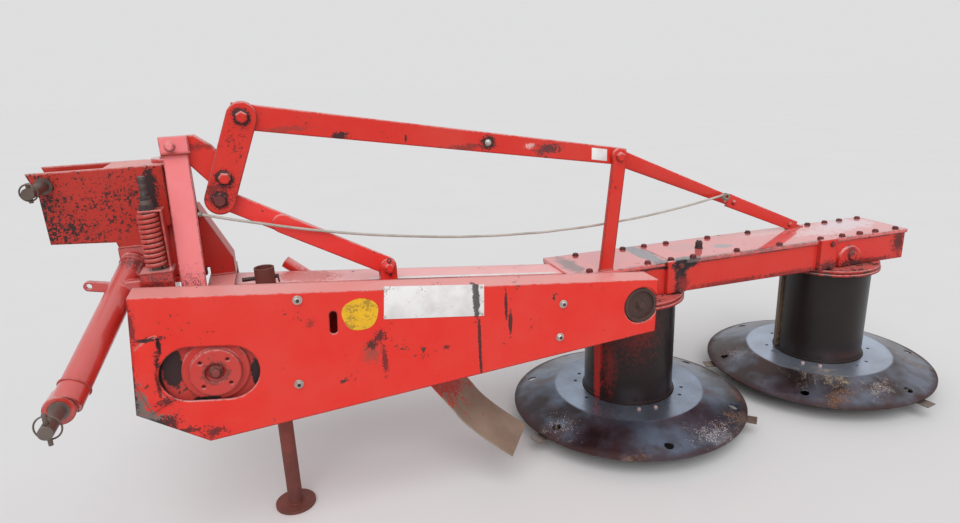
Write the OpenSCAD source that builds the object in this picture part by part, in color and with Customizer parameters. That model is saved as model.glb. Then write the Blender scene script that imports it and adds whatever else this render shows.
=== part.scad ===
// Two-drum rotary mower on a three-point headstock, its boom trailing straight behind.
// The construction frame has the ground at z = 0, the inner drum's axis at x = 0 and the
// hitch's centre plane at y = 0; +X runs out along the boom, -Y is the belt guard's side.

/* [Cutting drums] */
// Distance between the two drum axes
drum_spacing = 800; // [780:1:820]
// Outer radius of a spinning disc
disc_r = 386; // [376:1:390]
// Radius of the flat middle of the disc
disc_flat_r = 245; // [220:1:260]
// Height of the underside of the disc's rim above the ground
disc_rim_z = 58; // [54:1:70]
// Rise of the disc's cone from its rim to its flat middle
disc_rise = 46; // [30:1:55]
// Sheet thickness of the disc
disc_t = 5; // [4:0.5:8]
// Outer radius of a drum
drum_r = 145; // [120:1:155]
// Wall of a drum
drum_wall = 6; // [4:1:10]
// Radius of the collar at the foot of a drum
drum_collar_r = 150; // [148:1:165]
// Height of the collar at the foot of a drum
drum_collar_h = 8; // [4:1:30]
// Large access holes in the cone of a disc
disc_holes = 6; // [3:1:8]
// Radius of a large access hole
disc_hole_r = 14; // [8:1:20]
// Radius of the circle that the large access holes stand on
disc_hole_ring = 340; // [320:1:350]
// Radius of the circle that the pairs of small holes stand on
pair_ring = 176; // [172:1:190]
// Radius of a small hole
pair_hole_r = 6; // [4:0.5:7]
// Angle between the two small holes of a pair
pair_angle = 18; // [12:1:24]
// Running gap between a drum and the flange above it
drum_gap = 6; // [5:1:12]
// Radius of the drum's spindle
spindle_r = 35; // [25:1:45]
// Thickness of the lid of a drum
drum_lid_t = 10; // [6:1:14]
// Upright ribs round a drum
drum_ribs = 2; // [2:1:6]
// Width of an upright rib
drum_rib_w = 28; // [15:1:40]
// How far an upright rib stands out from the drum
drum_rib_h = 8; // [4:1:12]

/* [Knives] */
// Knives on each disc
knife_count = 3; // [2:1:4]
// How far a knife's tip stands out past the disc
knife_reach = 29; // [15:1:40]
// Length of a knife
knife_l = 110; // [90:1:130]
// Width of a knife
knife_w = 42; // [30:1:50]
// Thickness of a knife
knife_t = 4; // [3:0.5:5]

/* [Skid dishes] */
// Outer radius of a skid dish
skid_r = 330; // [280:1:345]
// Radius of the flat sole of a skid dish
skid_sole_r = 205; // [150:1:240]
// Height of the rim of a skid dish above the ground
skid_rim_z = 34; // [20:1:38]
// Sheet thickness of a skid dish
skid_t = 5; // [4:0.5:8]

/* [Gear beam] */
// Left end of the gear beam, from the inner drum's axis
gear_x0 = -262; // [-300:1:-230]
// Right end of the gear beam, from the outer drum's axis
gear_x1 = 233; // [200:1:260]
// Width of the gear beam
gear_w = 200; // [180:1:220]
// Height of the underside of the gear beam
gear_z = 457; // [440:1:470]
// Height of the gear beam without its cover
gear_h = 93; // [80:1:110]
// Thickness of the gear beam's cover
cover_t = 12; // [8:1:16]
// Overhang of the cover on each side
cover_over = 5; // [0:1:10]
// Radius of the boss of the small pulley's shaft
boss_r = 37; // [34:1:37]
// Width of a bolted lug on the near side of the gear beam
lug_w = 68; // [50:1:80]
// Thickness of a bolted lug
lug_t = 14; // [12:1:18]
// Radius of the arched boss beside the outer lug
arch_r = 48; // [40:1:52]
// Thickness of the arched boss
arch_t = 9; // [6:1:12]
// Radius of the flange that carries a drum
flange_r = 170; // [160:1:185]
// Height of the flange that carries a drum
flange_h = 20; // [12:1:30]

/* [Inner beam] */
// Left end of the inner beam
beam_x0 = -1260; // [-1262:1:-1240]
// Height of the beam's top at its left end
beam_top_z = 658; // [645:1:659]
// Height of the beam's top at the gear beam
beam_low_z = 556; // [546:1:560]
// Height of the beam's section
beam_h = 108; // [90:1:115]
// Width of the beam's section
beam_w = 108; // [96:1:112]
// Wall of the beam
beam_wall = 6; // [4:1:10]
// Outer radius of the input shaft's tube, on which the boom hinges
tube_r = 45; // [40:1:50]
// Reach of the input shaft's tube on the far side
tube_y1 = 128; // [115:1:150]

/* [Belt guard] */
// Near face of the guard
guard_y0 = -285; // [-300:1:-270]
// Far face of the guard
guard_y1 = -205; // [-215:1:-200]
// Sheet thickness of the guard
guard_t = 4; // [3:0.5:6]
// Radius of the hole over the small pulley
guard_hole_r = 53; // [50:1:58]
// Half height of the oval opening over the large pulley
guard_oval_r = 67; // [60:1:72]

/* [Belt drive] */
// Height of the input shaft, which is also the boom's hinge
input_z = 515; // [505:1:525]
// Place of the input shaft along the boom
input_x = -1248; // [-1255:1:-1242]
// Radius of the large pulley
large_pulley_r = 118; // [100:1:124]
// Place of the small pulley along the boom
small_pulley_x = -130; // [-150:1:-120]
// Radius of the small pulley
small_pulley_r = 44; // [38:1:45]
// Width of both pulleys
pulley_w = 48; // [40:1:52]
// Radius of the hub on the large pulley
hub_r = 57; // [52:1:60]
// Thickness of the belts
belt_t = 5.5; // [4:0.5:6]
// Radius of the splined end of the input shaft
spline_r = 17.4; // [16:0.1:20]
// Length of the splined end of the input shaft
spline_l = 76; // [60:1:90]

/* [Headstock] */
// Place of the upright pivot of the boom
pivot_x = -1310; // [-1315:1:-1308]
// Radius of the upright pivot pin
kingpin_r = 30; // [22:1:34]
// Outer radius of the sleeve on the pivot pin
sleeve_r = 50; // [44:1:52]
// Lowest point of the sleeve
sleeve_z0 = 692; // [690:1:700]
// Highest point of the sleeve
sleeve_z1 = 958; // [900:1:960]
// Thickness of the two ears that hold the pivot pin
ear_t = 14; // [10:1:16]
// Distance between the middles of the two top-link plates
plate_gap = 124; // [118:1:140]
// Thickness of a top-link plate
plate_t = 12; // [8:1:16]
// Left end of the top-link plates
plate_x0 = -1603; // [-1612:1:-1598]
// Top of the top-link plates
plate_z1 = 975; // [973:1:980]
// Place of the top-link pin
toplink_x = -1570; // [-1573:1:-1560]
// Height of the top-link pin
toplink_z = 946; // [940:1:950]
// Radius of the top-link pin
toplink_r = 12.7; // [9:0.1:13]
// How far the top-link pin stands out past its near plate
toplink_out = 117; // [60:1:130]
// Radius of a leg of the A-shaped frame
leg_r = 31; // [28:1:34]
// Place of the lower hitch pins
hitch_x = -1534; // [-1545:1:-1525]
// Height of the lower hitch pins
hitch_z = 540; // [520:1:560]
// Distance between the shoulders of the lower hitch pins
hitch_span = 825; // [810:1:840]
// Radius of a lower hitch pin
hitch_r = 14; // [11:0.1:18]
// Length of a lower hitch pin outside its shoulder
hitch_l = 92; // [70:1:110]

/* [Lift linkage] */
// Middle plane of the lift linkage
link_y = -70; // [-72:1:-68]
// Width of the lever's two plates
lever_w = 72; // [60:1:80]
// Thickness of a plate of the lever
lever_t = 10; // [8:1:12]
// Thickness of the long bar and of the bent arm
bar_t = 30; // [20:1:32]
// Height of the long bar at the lever
bar_h0 = 62; // [50:1:70]
// Height of the long bar at the post
bar_h1 = 48; // [40:1:50]
// Height of the two flats of the strut
strut_h = 48; // [40:1:50]
// Thickness of a flat of the strut
strut_t = 11; // [8:1:12]
// Radius of the linkage's pins
link_pin_r = 12; // [8:1:14]
// Play of the long bar's eye on the post's pin
pin_play = 2; // [1.8:0.1:3]
// Width of the leaning mast
mast_w = 55.5; // [50:0.5:60]
// Width of the post
post_w = 42; // [30:1:50]
// Place of the post's foot along the boom
post_foot_x = -140; // [-160:1:-130]
// Thickness of the post and of the long brace
post_t = 12; // [8:1:14]

/* [Rope] */
// Radius of the rope
rope_r = 3.5; // [3:0.1:5]

/* [Parking leg] */
// Place of the parking leg along the boom
leg_x = -1117; // [-1125:1:-1105]
// Middle of the parking leg across the boom
leg_y = -105; // [-108:1:-100]
// Outer radius of the leg's socket
socket_r = 25; // [23:1:28]
// Lowest point of the socket
socket_z0 = 372; // [360:1:400]
// Highest point of the socket
socket_z1 = 702; // [690:1:710]
// Radius of the parking leg
prop_r = 20; // [16:1:21]
// Length of the parking leg
prop_l = 447; // [430:1:450]

/* [Swath plate] */
// Width of the swath plate
swath_w = 170; // [140:1:180]
// Thickness of the swath plate
swath_t = 5; // [3:0.5:8]
// Turn of the swath plate away from the boom's line
swath_turn = 33.5; // [25:0.5:40]

/* [Fits] */
// Clearance of a running or sliding fit
fit = 0.3; // [0.2:0.05:0.5]

/* [Hidden] */
$fn = 64;

red = [0.80, 0.13, 0.09];
dark_red = [0.62, 0.10, 0.08];
worn_steel = [0.36, 0.30, 0.28];
soot = [0.16, 0.11, 0.10];
rust = [0.40, 0.26, 0.18];
steel = [0.55, 0.55, 0.56];

// Depth of a spindle inside the gear beam
spindle_in = 28;

// Middles of the two bolted lugs along the gear beam
lug_x = [98, 688];

// Middle of the arched boss: [x, z]
arch_at = [790, 480];

// Joint of the two plates of the gear beam's cover
cover_joint_x = 83;

// Heights and places that follow from the driving sizes
disc_top_z = disc_rim_z + disc_rise + disc_t;
disc_under_z = disc_rim_z + disc_rise;
flange_z = gear_z - flange_h;
drum_top_z = flange_z - drum_gap;
knife_z = disc_rim_z - knife_t - 5;
beam_slope = (beam_low_z - beam_top_z) / (gear_x0 - beam_x0);
cover_z1 = gear_z + gear_h + cover_t;
small_pulley_z = gear_z + gear_h / 2 + 8;
pulley_y0 = (guard_y0 + guard_y1 - pulley_w) / 2 + 2;
plate_y = plate_gap / 2;
ear_z0 = sleeve_z0 - 4 - ear_t;
ear_z1 = sleeve_z1 + 4;
hitch_y = hitch_span / 2;

// Pins of the lift linkage: [x, z]
pin_top = [-1121, 1076];
pin_lever = [-1179, 934];
pin_strut = [-1197, 881];
pin_post = [-102, 902];
pin_lug = [-798, 657];

// Middle of the hook on the long brace: [x, z]
rope_hook = [343, 726];

// Points of the rope, from the mast to the hook on the long brace, where it hangs in a plain sag
rope_pts = [[-1250, -118, 857], [-1190, -106, 837], [-1123, -101, 818], [-1057, -97, 800],
            [-991, -92, 783], [-924, -88, 768], [-858, -83, 754], [-791, -79, 742],
            [-725, -74, 731], [-659, -70, 721], [-592, -65, 712], [-526, -61, 705],
            [-460, -56, 699], [-393, -52, 695], [-327, -48, 691], [-260, -43, 690],
            [-194, -39, 689], [-128, -34, 690], [-61, -30, 692], [5, -25, 695],
            [72, -21, 700], [138, -16, 706], [204, -12, 713], [271, -7, 722], [337, -3, 732]];

// Top and foot of the far leg of the A, which the near leg mirrors
leg_top = [-1414, 60, 742];
leg_foot = [hitch_x + 10, hitch_y - 16, hitch_z + 4];

// Length of the boss at the foot of each leg, which holds a hitch pin
boss_l = 46;

// Radius of a hitch pin inside its boss
shank_r = hitch_r + 6;

// Foot of the release spring: [x, y] and height
spring_at = [pivot_x - 42, -150];
spring_z = 741;

// Block under the release spring: its length, width and height
seat_l = 72;
seat_w = 68;
seat_h = 63;

// Web between the block and the near leg: its width and height
web_w = 24;
web_h = 40;

// Mean radius of the release spring, its height, and the radius of its wire
spring_r = 21;
spring_h = 128;
spring_wire_r = 5;

// Radius of the thick part of the spring's rod
spring_rod_r = 13;

// Strap that holds the spring down: its height above the spring's foot, width and thickness
strap_z = spring_h + 2 * spring_wire_r + 0.6;
strap_w = 36;
strap_t = 5;

// Tab on the near leg: [x, z] of its root and of its eye
tab_root = [-1440, 700];
tab_eye = [-1506, 714];

// Plate under the sleeve that carries the hinge cheeks: its left end, width and height
head_x0 = pivot_x + 60;
head_w = 60;
head_z = 664;

// Height of the top of the leaning mast
mast_z1 = 1038;

apex_z0 = leg_top[2] - 41;
apex_z1 = leg_top[2] + 40;

// Stub on the beam's far side: [x, z] of its two ends, and its radius
stub_at = [[-985, 598], [-1062, 656]];
stub_r = 17;

// Foot of the long brace on the cover: [x, y] and its length
brace_foot = [700, 76];
brace_foot_l = 48;

// Near end of the swath plate's bend
swath_at = [-665, -205];

// Section of the swath plate: its top, and the three points that its bow is drawn from
swath_top = [-212, 482];
swath_bow = [[0, 249], [30, 200], [163, 127]];

// Hanger of the swath plate: [x, z] of its two lower corners
hanger_at = [[-816, 474], [-760, 430]];

// Belt guard's outline, from its lower left corner on: [x, z]
guard_outline = [[-1429, 440], [-1284, 342], [-84, 428], [-79, 581], [-1402, 718]];

// Openings of the guard's face, each a slot between two points in x and z
guard_oval = [[-1302, 519], [-1218, 508]];
guard_slot = [[-972, 574], [-970, 614]];
guard_slot_r = 9;

// The origin is midway between the plates' left end and the outer disc's rim
origin_x = (plate_x0 + drum_spacing + disc_r) / 2;

// A profile drawn in x and z, extruded between two values of y
module slab(y0, y1) {
    translate([0, y1, 0]) rotate([90, 0, 0]) linear_extrude(y1 - y0) children();
}

// A round bar between two points
module bar(p, q, r) {
    d = q - p;
    l = norm(d);
    translate(p) rotate([0, acos(d[2] / l), atan2(d[1], d[0])]) rotate(50) cylinder(h = l, r = r);
}

// A cylinder along y
module rod_y(x, z, y0, y1, r) {
    translate([x, y1, z]) rotate([90, 0, 0]) cylinder(h = y1 - y0, r = r);
}

// Points on an arc about c, from angle a0 on through the angle sweep
function arc(c, r, a0, sweep, n) = [for (i = [0 : n]) let (t = a0 + sweep * i / n) c + r * [cos(t), sin(t)]];

// A flat strip with round ends between two points in x and z
module strip(p, q, r) {
    d = q - p;
    a = atan2(d[1], d[0]);
    polygon(concat(arc(q, r, a - 90, 180, 16), arc(p, r, a + 90, 180, 16)));
}

function unit(v) = v / norm(v);

// Corners of a counter-clockwise outline, each moved inwards by d
function inset(pts, d) = [
    for (i = [0 : len(pts) - 1])
        let (n = len(pts),
             u = unit(pts[i] - pts[(i + n - 1) % n]),
             v = unit(pts[(i + 1) % n] - pts[i]),
             nu = [-u[1], u[0]],
             nv = [-v[1], v[0]])
        pts[i] + d / (1 + nu * nv) * (nu + nv)];

// An outline whose third and fourth corners run on past the end that they bound
function opened(pts) = [pts[0], pts[1],
                        pts[2] + 14 * unit(pts[2] - pts[1]),
                        pts[3] + 14 * unit(pts[3] - pts[4]), pts[4]];

// A sheet of thickness t drawn as a ribbon along points
function ribbon(pts, t) = let (n = len(pts),
    side = [for (i = [0 : n - 1]) let (d = unit(pts[min(i + 1, n - 1)] - pts[max(i - 1, 0)])) [-d[1], d[0]]])
    concat(pts, [for (i = [n - 1 : -1 : 0]) pts[i] + t * side[i]]);

// A point on the curve from a to c that b pulls on
function bow(a, b, c, t) = (1 - t) * (1 - t) * a + 2 * t * (1 - t) * b + t * t * c;

// Outline of an open belt round two pulleys: [centre, radius] of each
function belt_outline(a, ra, b, rb, n) =
    let (d = b - a,
         dir = atan2(d[1], d[0]),
         half = acos((ra - rb) / norm(d)))
    concat(
        [for (i = [0 : n]) let (t = dir + half + (360 - 2 * half) * i / n) a + ra * [cos(t), sin(t)]],
        [for (i = [0 : n]) let (t = dir - half + 2 * half * i / n) b + rb * [cos(t), sin(t)]]);

// Height of the disc's underside at a radius on its cone
function disc_under(r) = disc_rim_z + disc_rise * (disc_r - r) / (disc_r - disc_flat_r);

function beam_top(x) = beam_top_z + beam_slope * (x - beam_x0);

module place() {
    translate([-origin_x, 0, 0]) children();
}

// Two round legs, the shoulders of the lower pins, the block that joins them, and the spring's seat
module a_frame() color(red) place() difference() {
    union() {
        for (side = [-1, 1]) {
            bar([leg_foot[0], side * leg_foot[1], leg_foot[2]],
                [leg_top[0], side * leg_top[1], leg_top[2]], leg_r);
            y0 = side * hitch_y;
            translate([hitch_x, y0 - (side > 0 ? boss_l : 0), hitch_z])
                rotate([-90, 0, 0]) cylinder(h = boss_l, r = leg_r);
        }
        translate([leg_top[0] - leg_r, -leg_top[1] - 10, apex_z0])
            cube([2 * leg_r, 2 * leg_top[1] + 20, apex_z1 - apex_z0]);
        slab(-sleeve_r, sleeve_r)
            polygon([[leg_top[0] - leg_r + 6, ear_z0], [pivot_x, ear_z0], [pivot_x, ear_z0 + ear_t],
                     [leg_top[0] + leg_r - 6, ear_z0 + ear_t], [leg_top[0] + leg_r - 6, apex_z0 + 9],
                     [leg_top[0] - leg_r + 6, apex_z0 + 9]]);
        translate([pivot_x, 0, ear_z0]) cylinder(h = ear_t, r = sleeve_r);
        translate([spring_at[0] - seat_l / 2, spring_at[1] - seat_w / 2, spring_z - seat_h])
            cube([seat_l, seat_w, seat_h]);
        translate([leg_top[0] - 20, spring_at[1] - web_w / 2, spring_z - seat_h + 3])
            cube([spring_at[0] - leg_top[0], web_w, web_h]);
        x1 = spring_r + spring_wire_r + 2;
        slab(spring_at[1] - strap_w / 2, spring_at[1] + strap_w / 2) translate([spring_at[0], spring_z])
            polygon([[x1, -1], [x1 + strap_t, -1], [x1 + strap_t, strap_z + strap_t],
                     [-strap_w / 2, strap_z + strap_t], [-strap_w / 2, strap_z], [x1, strap_z]]);
        slab(-136, -126) strip(tab_root, tab_eye, 12);
    }
    translate([spring_at[0], spring_at[1], spring_z + 1]) cylinder(h = 200, r = spring_rod_r + fit);
    rod_y(tab_eye[0], tab_eye[1], -140, -120, 6.5);
    translate([pivot_x, 0, ear_z0 - 1]) cylinder(h = ear_t + 2, r = kingpin_r + fit);
    for (side = [-1, 1])
        rod_y(hitch_x, hitch_z, side * (hitch_y - 20) - 27, side * (hitch_y - 20) + 27, shank_r);
}

// Two plates that take the top link, and the ear over the sleeve
module toplink_bracket() color(red) place() difference() {
    union() {
        for (side = [-1, 1])
            slab(side * plate_y - plate_t / 2, side * plate_y + plate_t / 2)
                polygon([[plate_x0, plate_z1], [plate_x0 + 18, plate_z1 - 56],
                         [plate_x0 + 20, plate_z1 - 168], [leg_top[0] - 32, plate_z1 - 178],
                         [leg_top[0] - 28, apex_z1], [leg_top[0] + 36, apex_z1],
                         [side < 0 ? pivot_x - 6 : pivot_x - 62, plate_z1 - 145],
                         [side < 0 ? pivot_x - 6 : pivot_x - 62, plate_z1]]);
        translate([leg_top[0] - 32, -plate_y, ear_z1])
            cube([pivot_x - leg_top[0] + 32, 2 * plate_y, plate_z1 - ear_z1]);
        translate([pivot_x, 0, ear_z1]) cylinder(h = plate_z1 - ear_z1, r = sleeve_r);
        translate([leg_top[0] + 6, -plate_y, apex_z1]) cube([28, 2 * plate_y, plate_z1 - apex_z1]);
    }
    rod_y(toplink_x, toplink_z, -90, 90, toplink_r + fit);
    translate([pivot_x, 0, ear_z1 - 1]) cylinder(h = 40, r = kingpin_r + fit);
}

module kingpin() color(steel) place() {
    translate([pivot_x, 0, ear_z0 - 6]) cylinder(h = plate_z1 - ear_z0 + 6, r = kingpin_r);
    translate([pivot_x, 0, plate_z1]) cylinder(h = 9, r = kingpin_r + 8);
}

// A lower hitch pin with its shoulder inside the boss
module hitch_pin(side) color(worn_steel) place() difference() {
    union() {
        rod_y(hitch_x, hitch_z, side > 0 ? hitch_y - boss_l : -hitch_y - hitch_l,
              side > 0 ? hitch_y + hitch_l : -hitch_y + boss_l, hitch_r);
        rod_y(hitch_x, hitch_z, side > 0 ? hitch_y - boss_l : -hitch_y,
              side > 0 ? hitch_y : -hitch_y + boss_l, shank_r);
    }
    translate([hitch_x, side * (hitch_y + hitch_l - 14), hitch_z - 30]) cylinder(h = 60, r = 5.5);
}

module hitch_pin_near() hitch_pin(-1);
module hitch_pin_far() hitch_pin(1);

module toplink_pin() color(worn_steel) place() {
    rod_y(toplink_x, toplink_z, -plate_y - plate_t / 2 - toplink_out, plate_y + 24, toplink_r);
    rod_y(toplink_x, toplink_z, -plate_y - plate_t / 2 - 8, -plate_y - plate_t / 2, toplink_r + 6);
}

// Rod of the release spring, thicker over its lower part
module spring_rod() color(soot) place() {
    translate([spring_at[0], spring_at[1], spring_z]) cylinder(h = 220, r = spring_rod_r - 5);
    translate([spring_at[0], spring_at[1], spring_z]) cylinder(h = 166, r = spring_rod_r);
}

// Coil points around the spring's axis
function coil(n_turn, steps, r, z0, h) = [
    for (i = [0 : n_turn * steps]) let (t = 360 * i / steps)
        [r * cos(t), r * sin(t), z0 + h * i / (n_turn * steps)]];

// A point of the smooth curve through points, at the share t of the step that starts at point i
function between(pts, i, t) = let (n = len(pts) - 1,
    a = pts[max(i - 1, 0)], b = pts[i], c = pts[min(i + 1, n)], d = pts[min(i + 2, n)])
    0.5 * (2 * b + t * (c - a) + t * t * (2 * a - 5 * b + 4 * c - d) + t * t * t * (3 * b - a - 3 * c + d));

// Points with n steps between each two, all on a smooth curve
function smooth(pts, n) = concat(
    [for (i = [0 : len(pts) - 2]) for (k = [0 : n - 1]) between(pts, i, k / n)], [pts[len(pts) - 1]]);

// A round wire swept along points whose tangent is nearly level
module wire(pts, r, sides) {
    n = len(pts);
    rings = [for (i = [0 : n - 1])
        let (t = unit(pts[min(i + 1, n - 1)] - pts[max(i - 1, 0)]),
             s = unit(cross(t, [0, 0, 1])),
             u = cross(s, t))
        [for (k = [0 : sides - 1]) pts[i] + r * (cos(360 * k / sides) * s + sin(360 * k / sides) * u)]];
    polyhedron(
        points = [for (ring = rings) for (p = ring) p],
        faces = concat(
            [[for (k = [0 : sides - 1]) k]],
            [for (i = [0 : n - 2]) for (k = [0 : sides - 1])
                [i * sides + k, (i + 1) * sides + k,
                 (i + 1) * sides + (k + 1) % sides, i * sides + (k + 1) % sides]],
            [[for (k = [sides - 1 : -1 : 0]) (n - 1) * sides + k]]));
}

module release_spring() color(red) place() translate([spring_at[0], spring_at[1], spring_z + fit])
    wire(coil(11, 14, spring_r, spring_wire_r, spring_h), spring_wire_r, 8);

// Sleeve on the pivot pin, with the neck and the plate that carry the hinge cheeks
module pivot_sleeve() color(red) place() difference() {
    union() {
        translate([pivot_x, 0, sleeve_z0]) cylinder(h = sleeve_z1 - sleeve_z0, r = sleeve_r);
        slab(-36, 36) polygon([[pivot_x, head_z + 36], [head_x0, head_z + 36], [head_x0, head_z],
                               [head_x0 + head_w, head_z], [head_x0 + head_w, head_z + 56],
                               [head_x0 - 8, head_z + 196], [pivot_x, head_z + 196]]);
        translate([head_x0, -164, head_z]) cube([head_w, 248, 12]);
    }
    translate([pivot_x, 0, sleeve_z0 - 40]) cylinder(h = 400, r = kingpin_r + fit);
}

// Two cheeks under the plate, bored for the input tube on which the boom hinges
module hinge_cheeks() color(red) place()
    for (side = [-1, 1]) difference() {
        slab(side * 78 - 6, side * 78 + 6) {
            translate([input_x, input_z]) circle(62);
            polygon([[head_x0, head_z], [head_x0 + head_w, head_z], [input_x + 61, input_z],
                     [input_x - 61, input_z], [input_x - 40, input_z + 55]]);
        }
        rod_y(input_x, input_z, -100, 100, tube_r + fit);
    }

// Leaning flat with a cap, which carries the bent arm
module mast() color(red) place() {
    y1 = link_y - bar_t / 2;
    translate([pivot_x + 3, 0, 0]) rotate([90, 0, 90]) linear_extrude(mast_w)
        polygon([[-160, head_z + 12], [-146, head_z + 12], [y1, mast_z1 - 46], [y1, mast_z1],
                 [y1 - 14, mast_z1], [y1 - 14, mast_z1 - 46]]);
    translate([pivot_x - 1, y1 - 18, mast_z1 - 37]) cube([mast_w + 8, 18, 40]);
    rod_y(pivot_x + 22, mast_z1 - 19, y1 - 26, y1 - 17, 11);
}

module bent_arm() color(red) place() difference() {
    slab(link_y - bar_t / 2, link_y + bar_t / 2) {
        polygon([[pivot_x + 3, mast_z1], [pivot_x + 3, mast_z1 - 48], [pivot_x + 42, mast_z1 - 50],
                 [pin_lever[0] - 26, 912], [pin_lever[0] + 20, 956],
                 [pivot_x + 110, mast_z1 - 25], [pivot_x + 74, mast_z1 + 2]]);
        translate(pin_lever) circle(27);
    }
    rod_y(pin_lever[0], pin_lever[1], -200, 0, link_pin_r + fit);
}

// Two plates on three pins
module lever() color(red) place() {
    for (side = [-1, 1])
        slab(link_y + side * (bar_t / 2 + 1 + lever_t / 2) - lever_t / 2,
             link_y + side * (bar_t / 2 + 1 + lever_t / 2) + lever_t / 2) {
            strip(pin_top, pin_strut, lever_w / 2);
        }
    for (p = [pin_top, pin_lever, pin_strut])
        rod_y(p[0], p[1], link_y - bar_t / 2 - lever_t - 10, link_y + bar_t / 2 + lever_t + 10, link_pin_r);
}

module long_bar() color(red) place() difference() {
    dir = unit(pin_post - pin_top);
    up = [-dir[1], dir[0]];
    slab(link_y - bar_t / 2, link_y + bar_t / 2)
        polygon([pin_top - 26 * dir - bar_h0 / 2 * up, pin_post + 24 * dir - bar_h1 / 2 * up,
                 pin_post + 24 * dir + bar_h1 / 2 * up, pin_top - 26 * dir + bar_h0 / 2 * up]);
    rod_y(pin_top[0], pin_top[1], -200, 0, link_pin_r + fit);
    rod_y(pin_post[0], pin_post[1], -200, 0, link_pin_r + pin_play);
}

module strut_upper() color(red) place() difference() {
    dir = unit(pin_lug - pin_strut);
    slab(link_y + fit / 2, link_y + fit / 2 + strut_t)
        strip(pin_strut, pin_strut + 262 * dir, strut_h / 2);
    rod_y(pin_strut[0], pin_strut[1], -200, 0, link_pin_r + fit);
}

module strut_lower() color(red) place() difference() {
    dir = unit(pin_lug - pin_strut);
    slab(link_y - fit / 2 - strut_t, link_y - fit / 2)
        strip(pin_lug - 300 * dir, pin_lug, strut_h / 2);
    rod_y(pin_lug[0], pin_lug[1], -200, 0, link_pin_r + fit);
}

// Sloping box beam, with the tube of the input shaft across its end and a stub on its far side
module inner_beam() color(red) place() difference() {
    union() {
        difference() {
            slab(-beam_w / 2, beam_w / 2)
                polygon([[beam_x0, beam_top_z - beam_h], [gear_x0, beam_low_z - beam_h],
                         [gear_x0, beam_low_z], [beam_x0, beam_top_z]]);
            slab(-beam_w / 2 + beam_wall, beam_w / 2 - beam_wall)
                polygon(inset([[beam_x0, beam_top_z - beam_h], [gear_x0, beam_low_z - beam_h],
                               [gear_x0, beam_low_z], [beam_x0, beam_top_z]], beam_wall));
        }
        rod_y(input_x, input_z, guard_y1, tube_y1, tube_r);
        slab(-40, 40) polygon([[beam_x0, input_z], [input_x + 90, beam_top(input_x + 90) - beam_h],
                               [input_x + 90, beam_top(input_x + 90) - beam_h + 3],
                               [beam_x0, beam_top_z - beam_h + 3]]);
        bar([stub_at[0][0], beam_w / 2 + 2, stub_at[0][1]],
            [stub_at[1][0], beam_w / 2 + 38, stub_at[1][1]], stub_r);
    }
    rod_y(input_x, input_z, -400, 400, spline_r + 6 + fit);
}

// Lug on the beam with the strut's pin
module strut_lug() color(red) place() {
    z0 = beam_top(pin_lug[0]) - beam_h + 12;
    z1 = pin_lug[1] - strut_h / 2 - 5;
    for (y0 = [link_y - strut_t - 14, link_y + 4])
        slab(y0, y0 + 10) {
            translate(pin_lug) circle(22);
            translate([pin_lug[0] - 22, z0]) square([44, pin_lug[1] - z0]);
        }
    slab(link_y - strut_t - 14, -beam_w / 2) translate([pin_lug[0] - 22, z0]) square([44, z1 - z0]);
    rod_y(pin_lug[0], pin_lug[1], link_y - strut_t - 32, link_y + 20, link_pin_r);
}

module guard_profile(d) {
    polygon(inset(guard_outline, d));
}

// Folded cover of the belt drive, open at the back
module guard_cover() color(red) place() difference() {
    slab(guard_y0, guard_y1 - guard_t) guard_profile(0);
    slab(guard_y0 + guard_t, guard_y1 + 1) polygon(opened(inset(guard_outline, guard_t)));
    slab(guard_y0 - 1, guard_y0 + guard_t + 1) {
        strip(guard_oval[0], guard_oval[1], guard_oval_r);
        polygon(arc([small_pulley_x, small_pulley_z], guard_hole_r, 0, 360, 48));
        strip(guard_slot[0], guard_slot[1], guard_slot_r);
    }
}

module guard_back() color(red) place() difference() {
    slab(guard_y1 - guard_t, guard_y1) guard_profile(0);
    rod_y(input_x, input_z, -400, 0, spline_r + 6 + fit);
    rod_y(small_pulley_x, small_pulley_z, -400, 0, spline_r + fit);
}

// Bolted lug on the near side of the gear beam, with its ear beside the cover's edge
module beam_lug(x) {
    y0 = -gear_w / 2;
    translate([x - lug_w / 2, 0, 0]) rotate([90, 0, 90]) linear_extrude(lug_w)
        polygon([[y0 - lug_t, gear_z + 4], [y0 + 1, gear_z + 4], [y0 + 1, gear_z + gear_h - 1],
                 [y0 - cover_over - fit, gear_z + gear_h - 1], [y0 - cover_over - fit, cover_z1 + 4],
                 [y0 - lug_t, cover_z1 + 4]]);
}

// Gear housing of the two drums, with its lugs and the boss of the small pulley's shaft
module gear_beam() color(red) place() difference() {
    union() {
        translate([gear_x0, -gear_w / 2, gear_z])
            cube([drum_spacing + gear_x1 - gear_x0, gear_w, gear_h]);
        rod_y(small_pulley_x, small_pulley_z, guard_y1, -gear_w / 2, boss_r);
        for (x = lug_x) beam_lug(x);
        slab(-gear_w / 2 - arch_t, -gear_w / 2 + 1)
            polygon(concat(arc(arch_at, arch_r, 0, 180, 24), [[arch_at[0] - arch_r, gear_z + 3],
                                                             [arch_at[0] + arch_r, gear_z + 3]]));
        rod_y(arch_at[0] + 6, arch_at[1] + 16, -gear_w / 2 - arch_t - 6, -gear_w / 2, 15);
    }
    rod_y(small_pulley_x, small_pulley_z, guard_y1 - 1, -gear_w / 2, spline_r + fit);
    for (x = [0, drum_spacing])
        translate([x, 0, gear_z - 1]) cylinder(h = spindle_in + 3, r = spindle_r + fit);
}

module gear_cover() color(red) place() difference() {
    translate([gear_x0, -gear_w / 2 - cover_over, gear_z + gear_h])
        cube([drum_spacing + gear_x1 - gear_x0 + 4, gear_w + 2 * cover_over, cover_t]);
    translate([cover_joint_x, -gear_w, cover_z1 - 3]) cube([3, 2 * gear_w, 4]);
}

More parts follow.
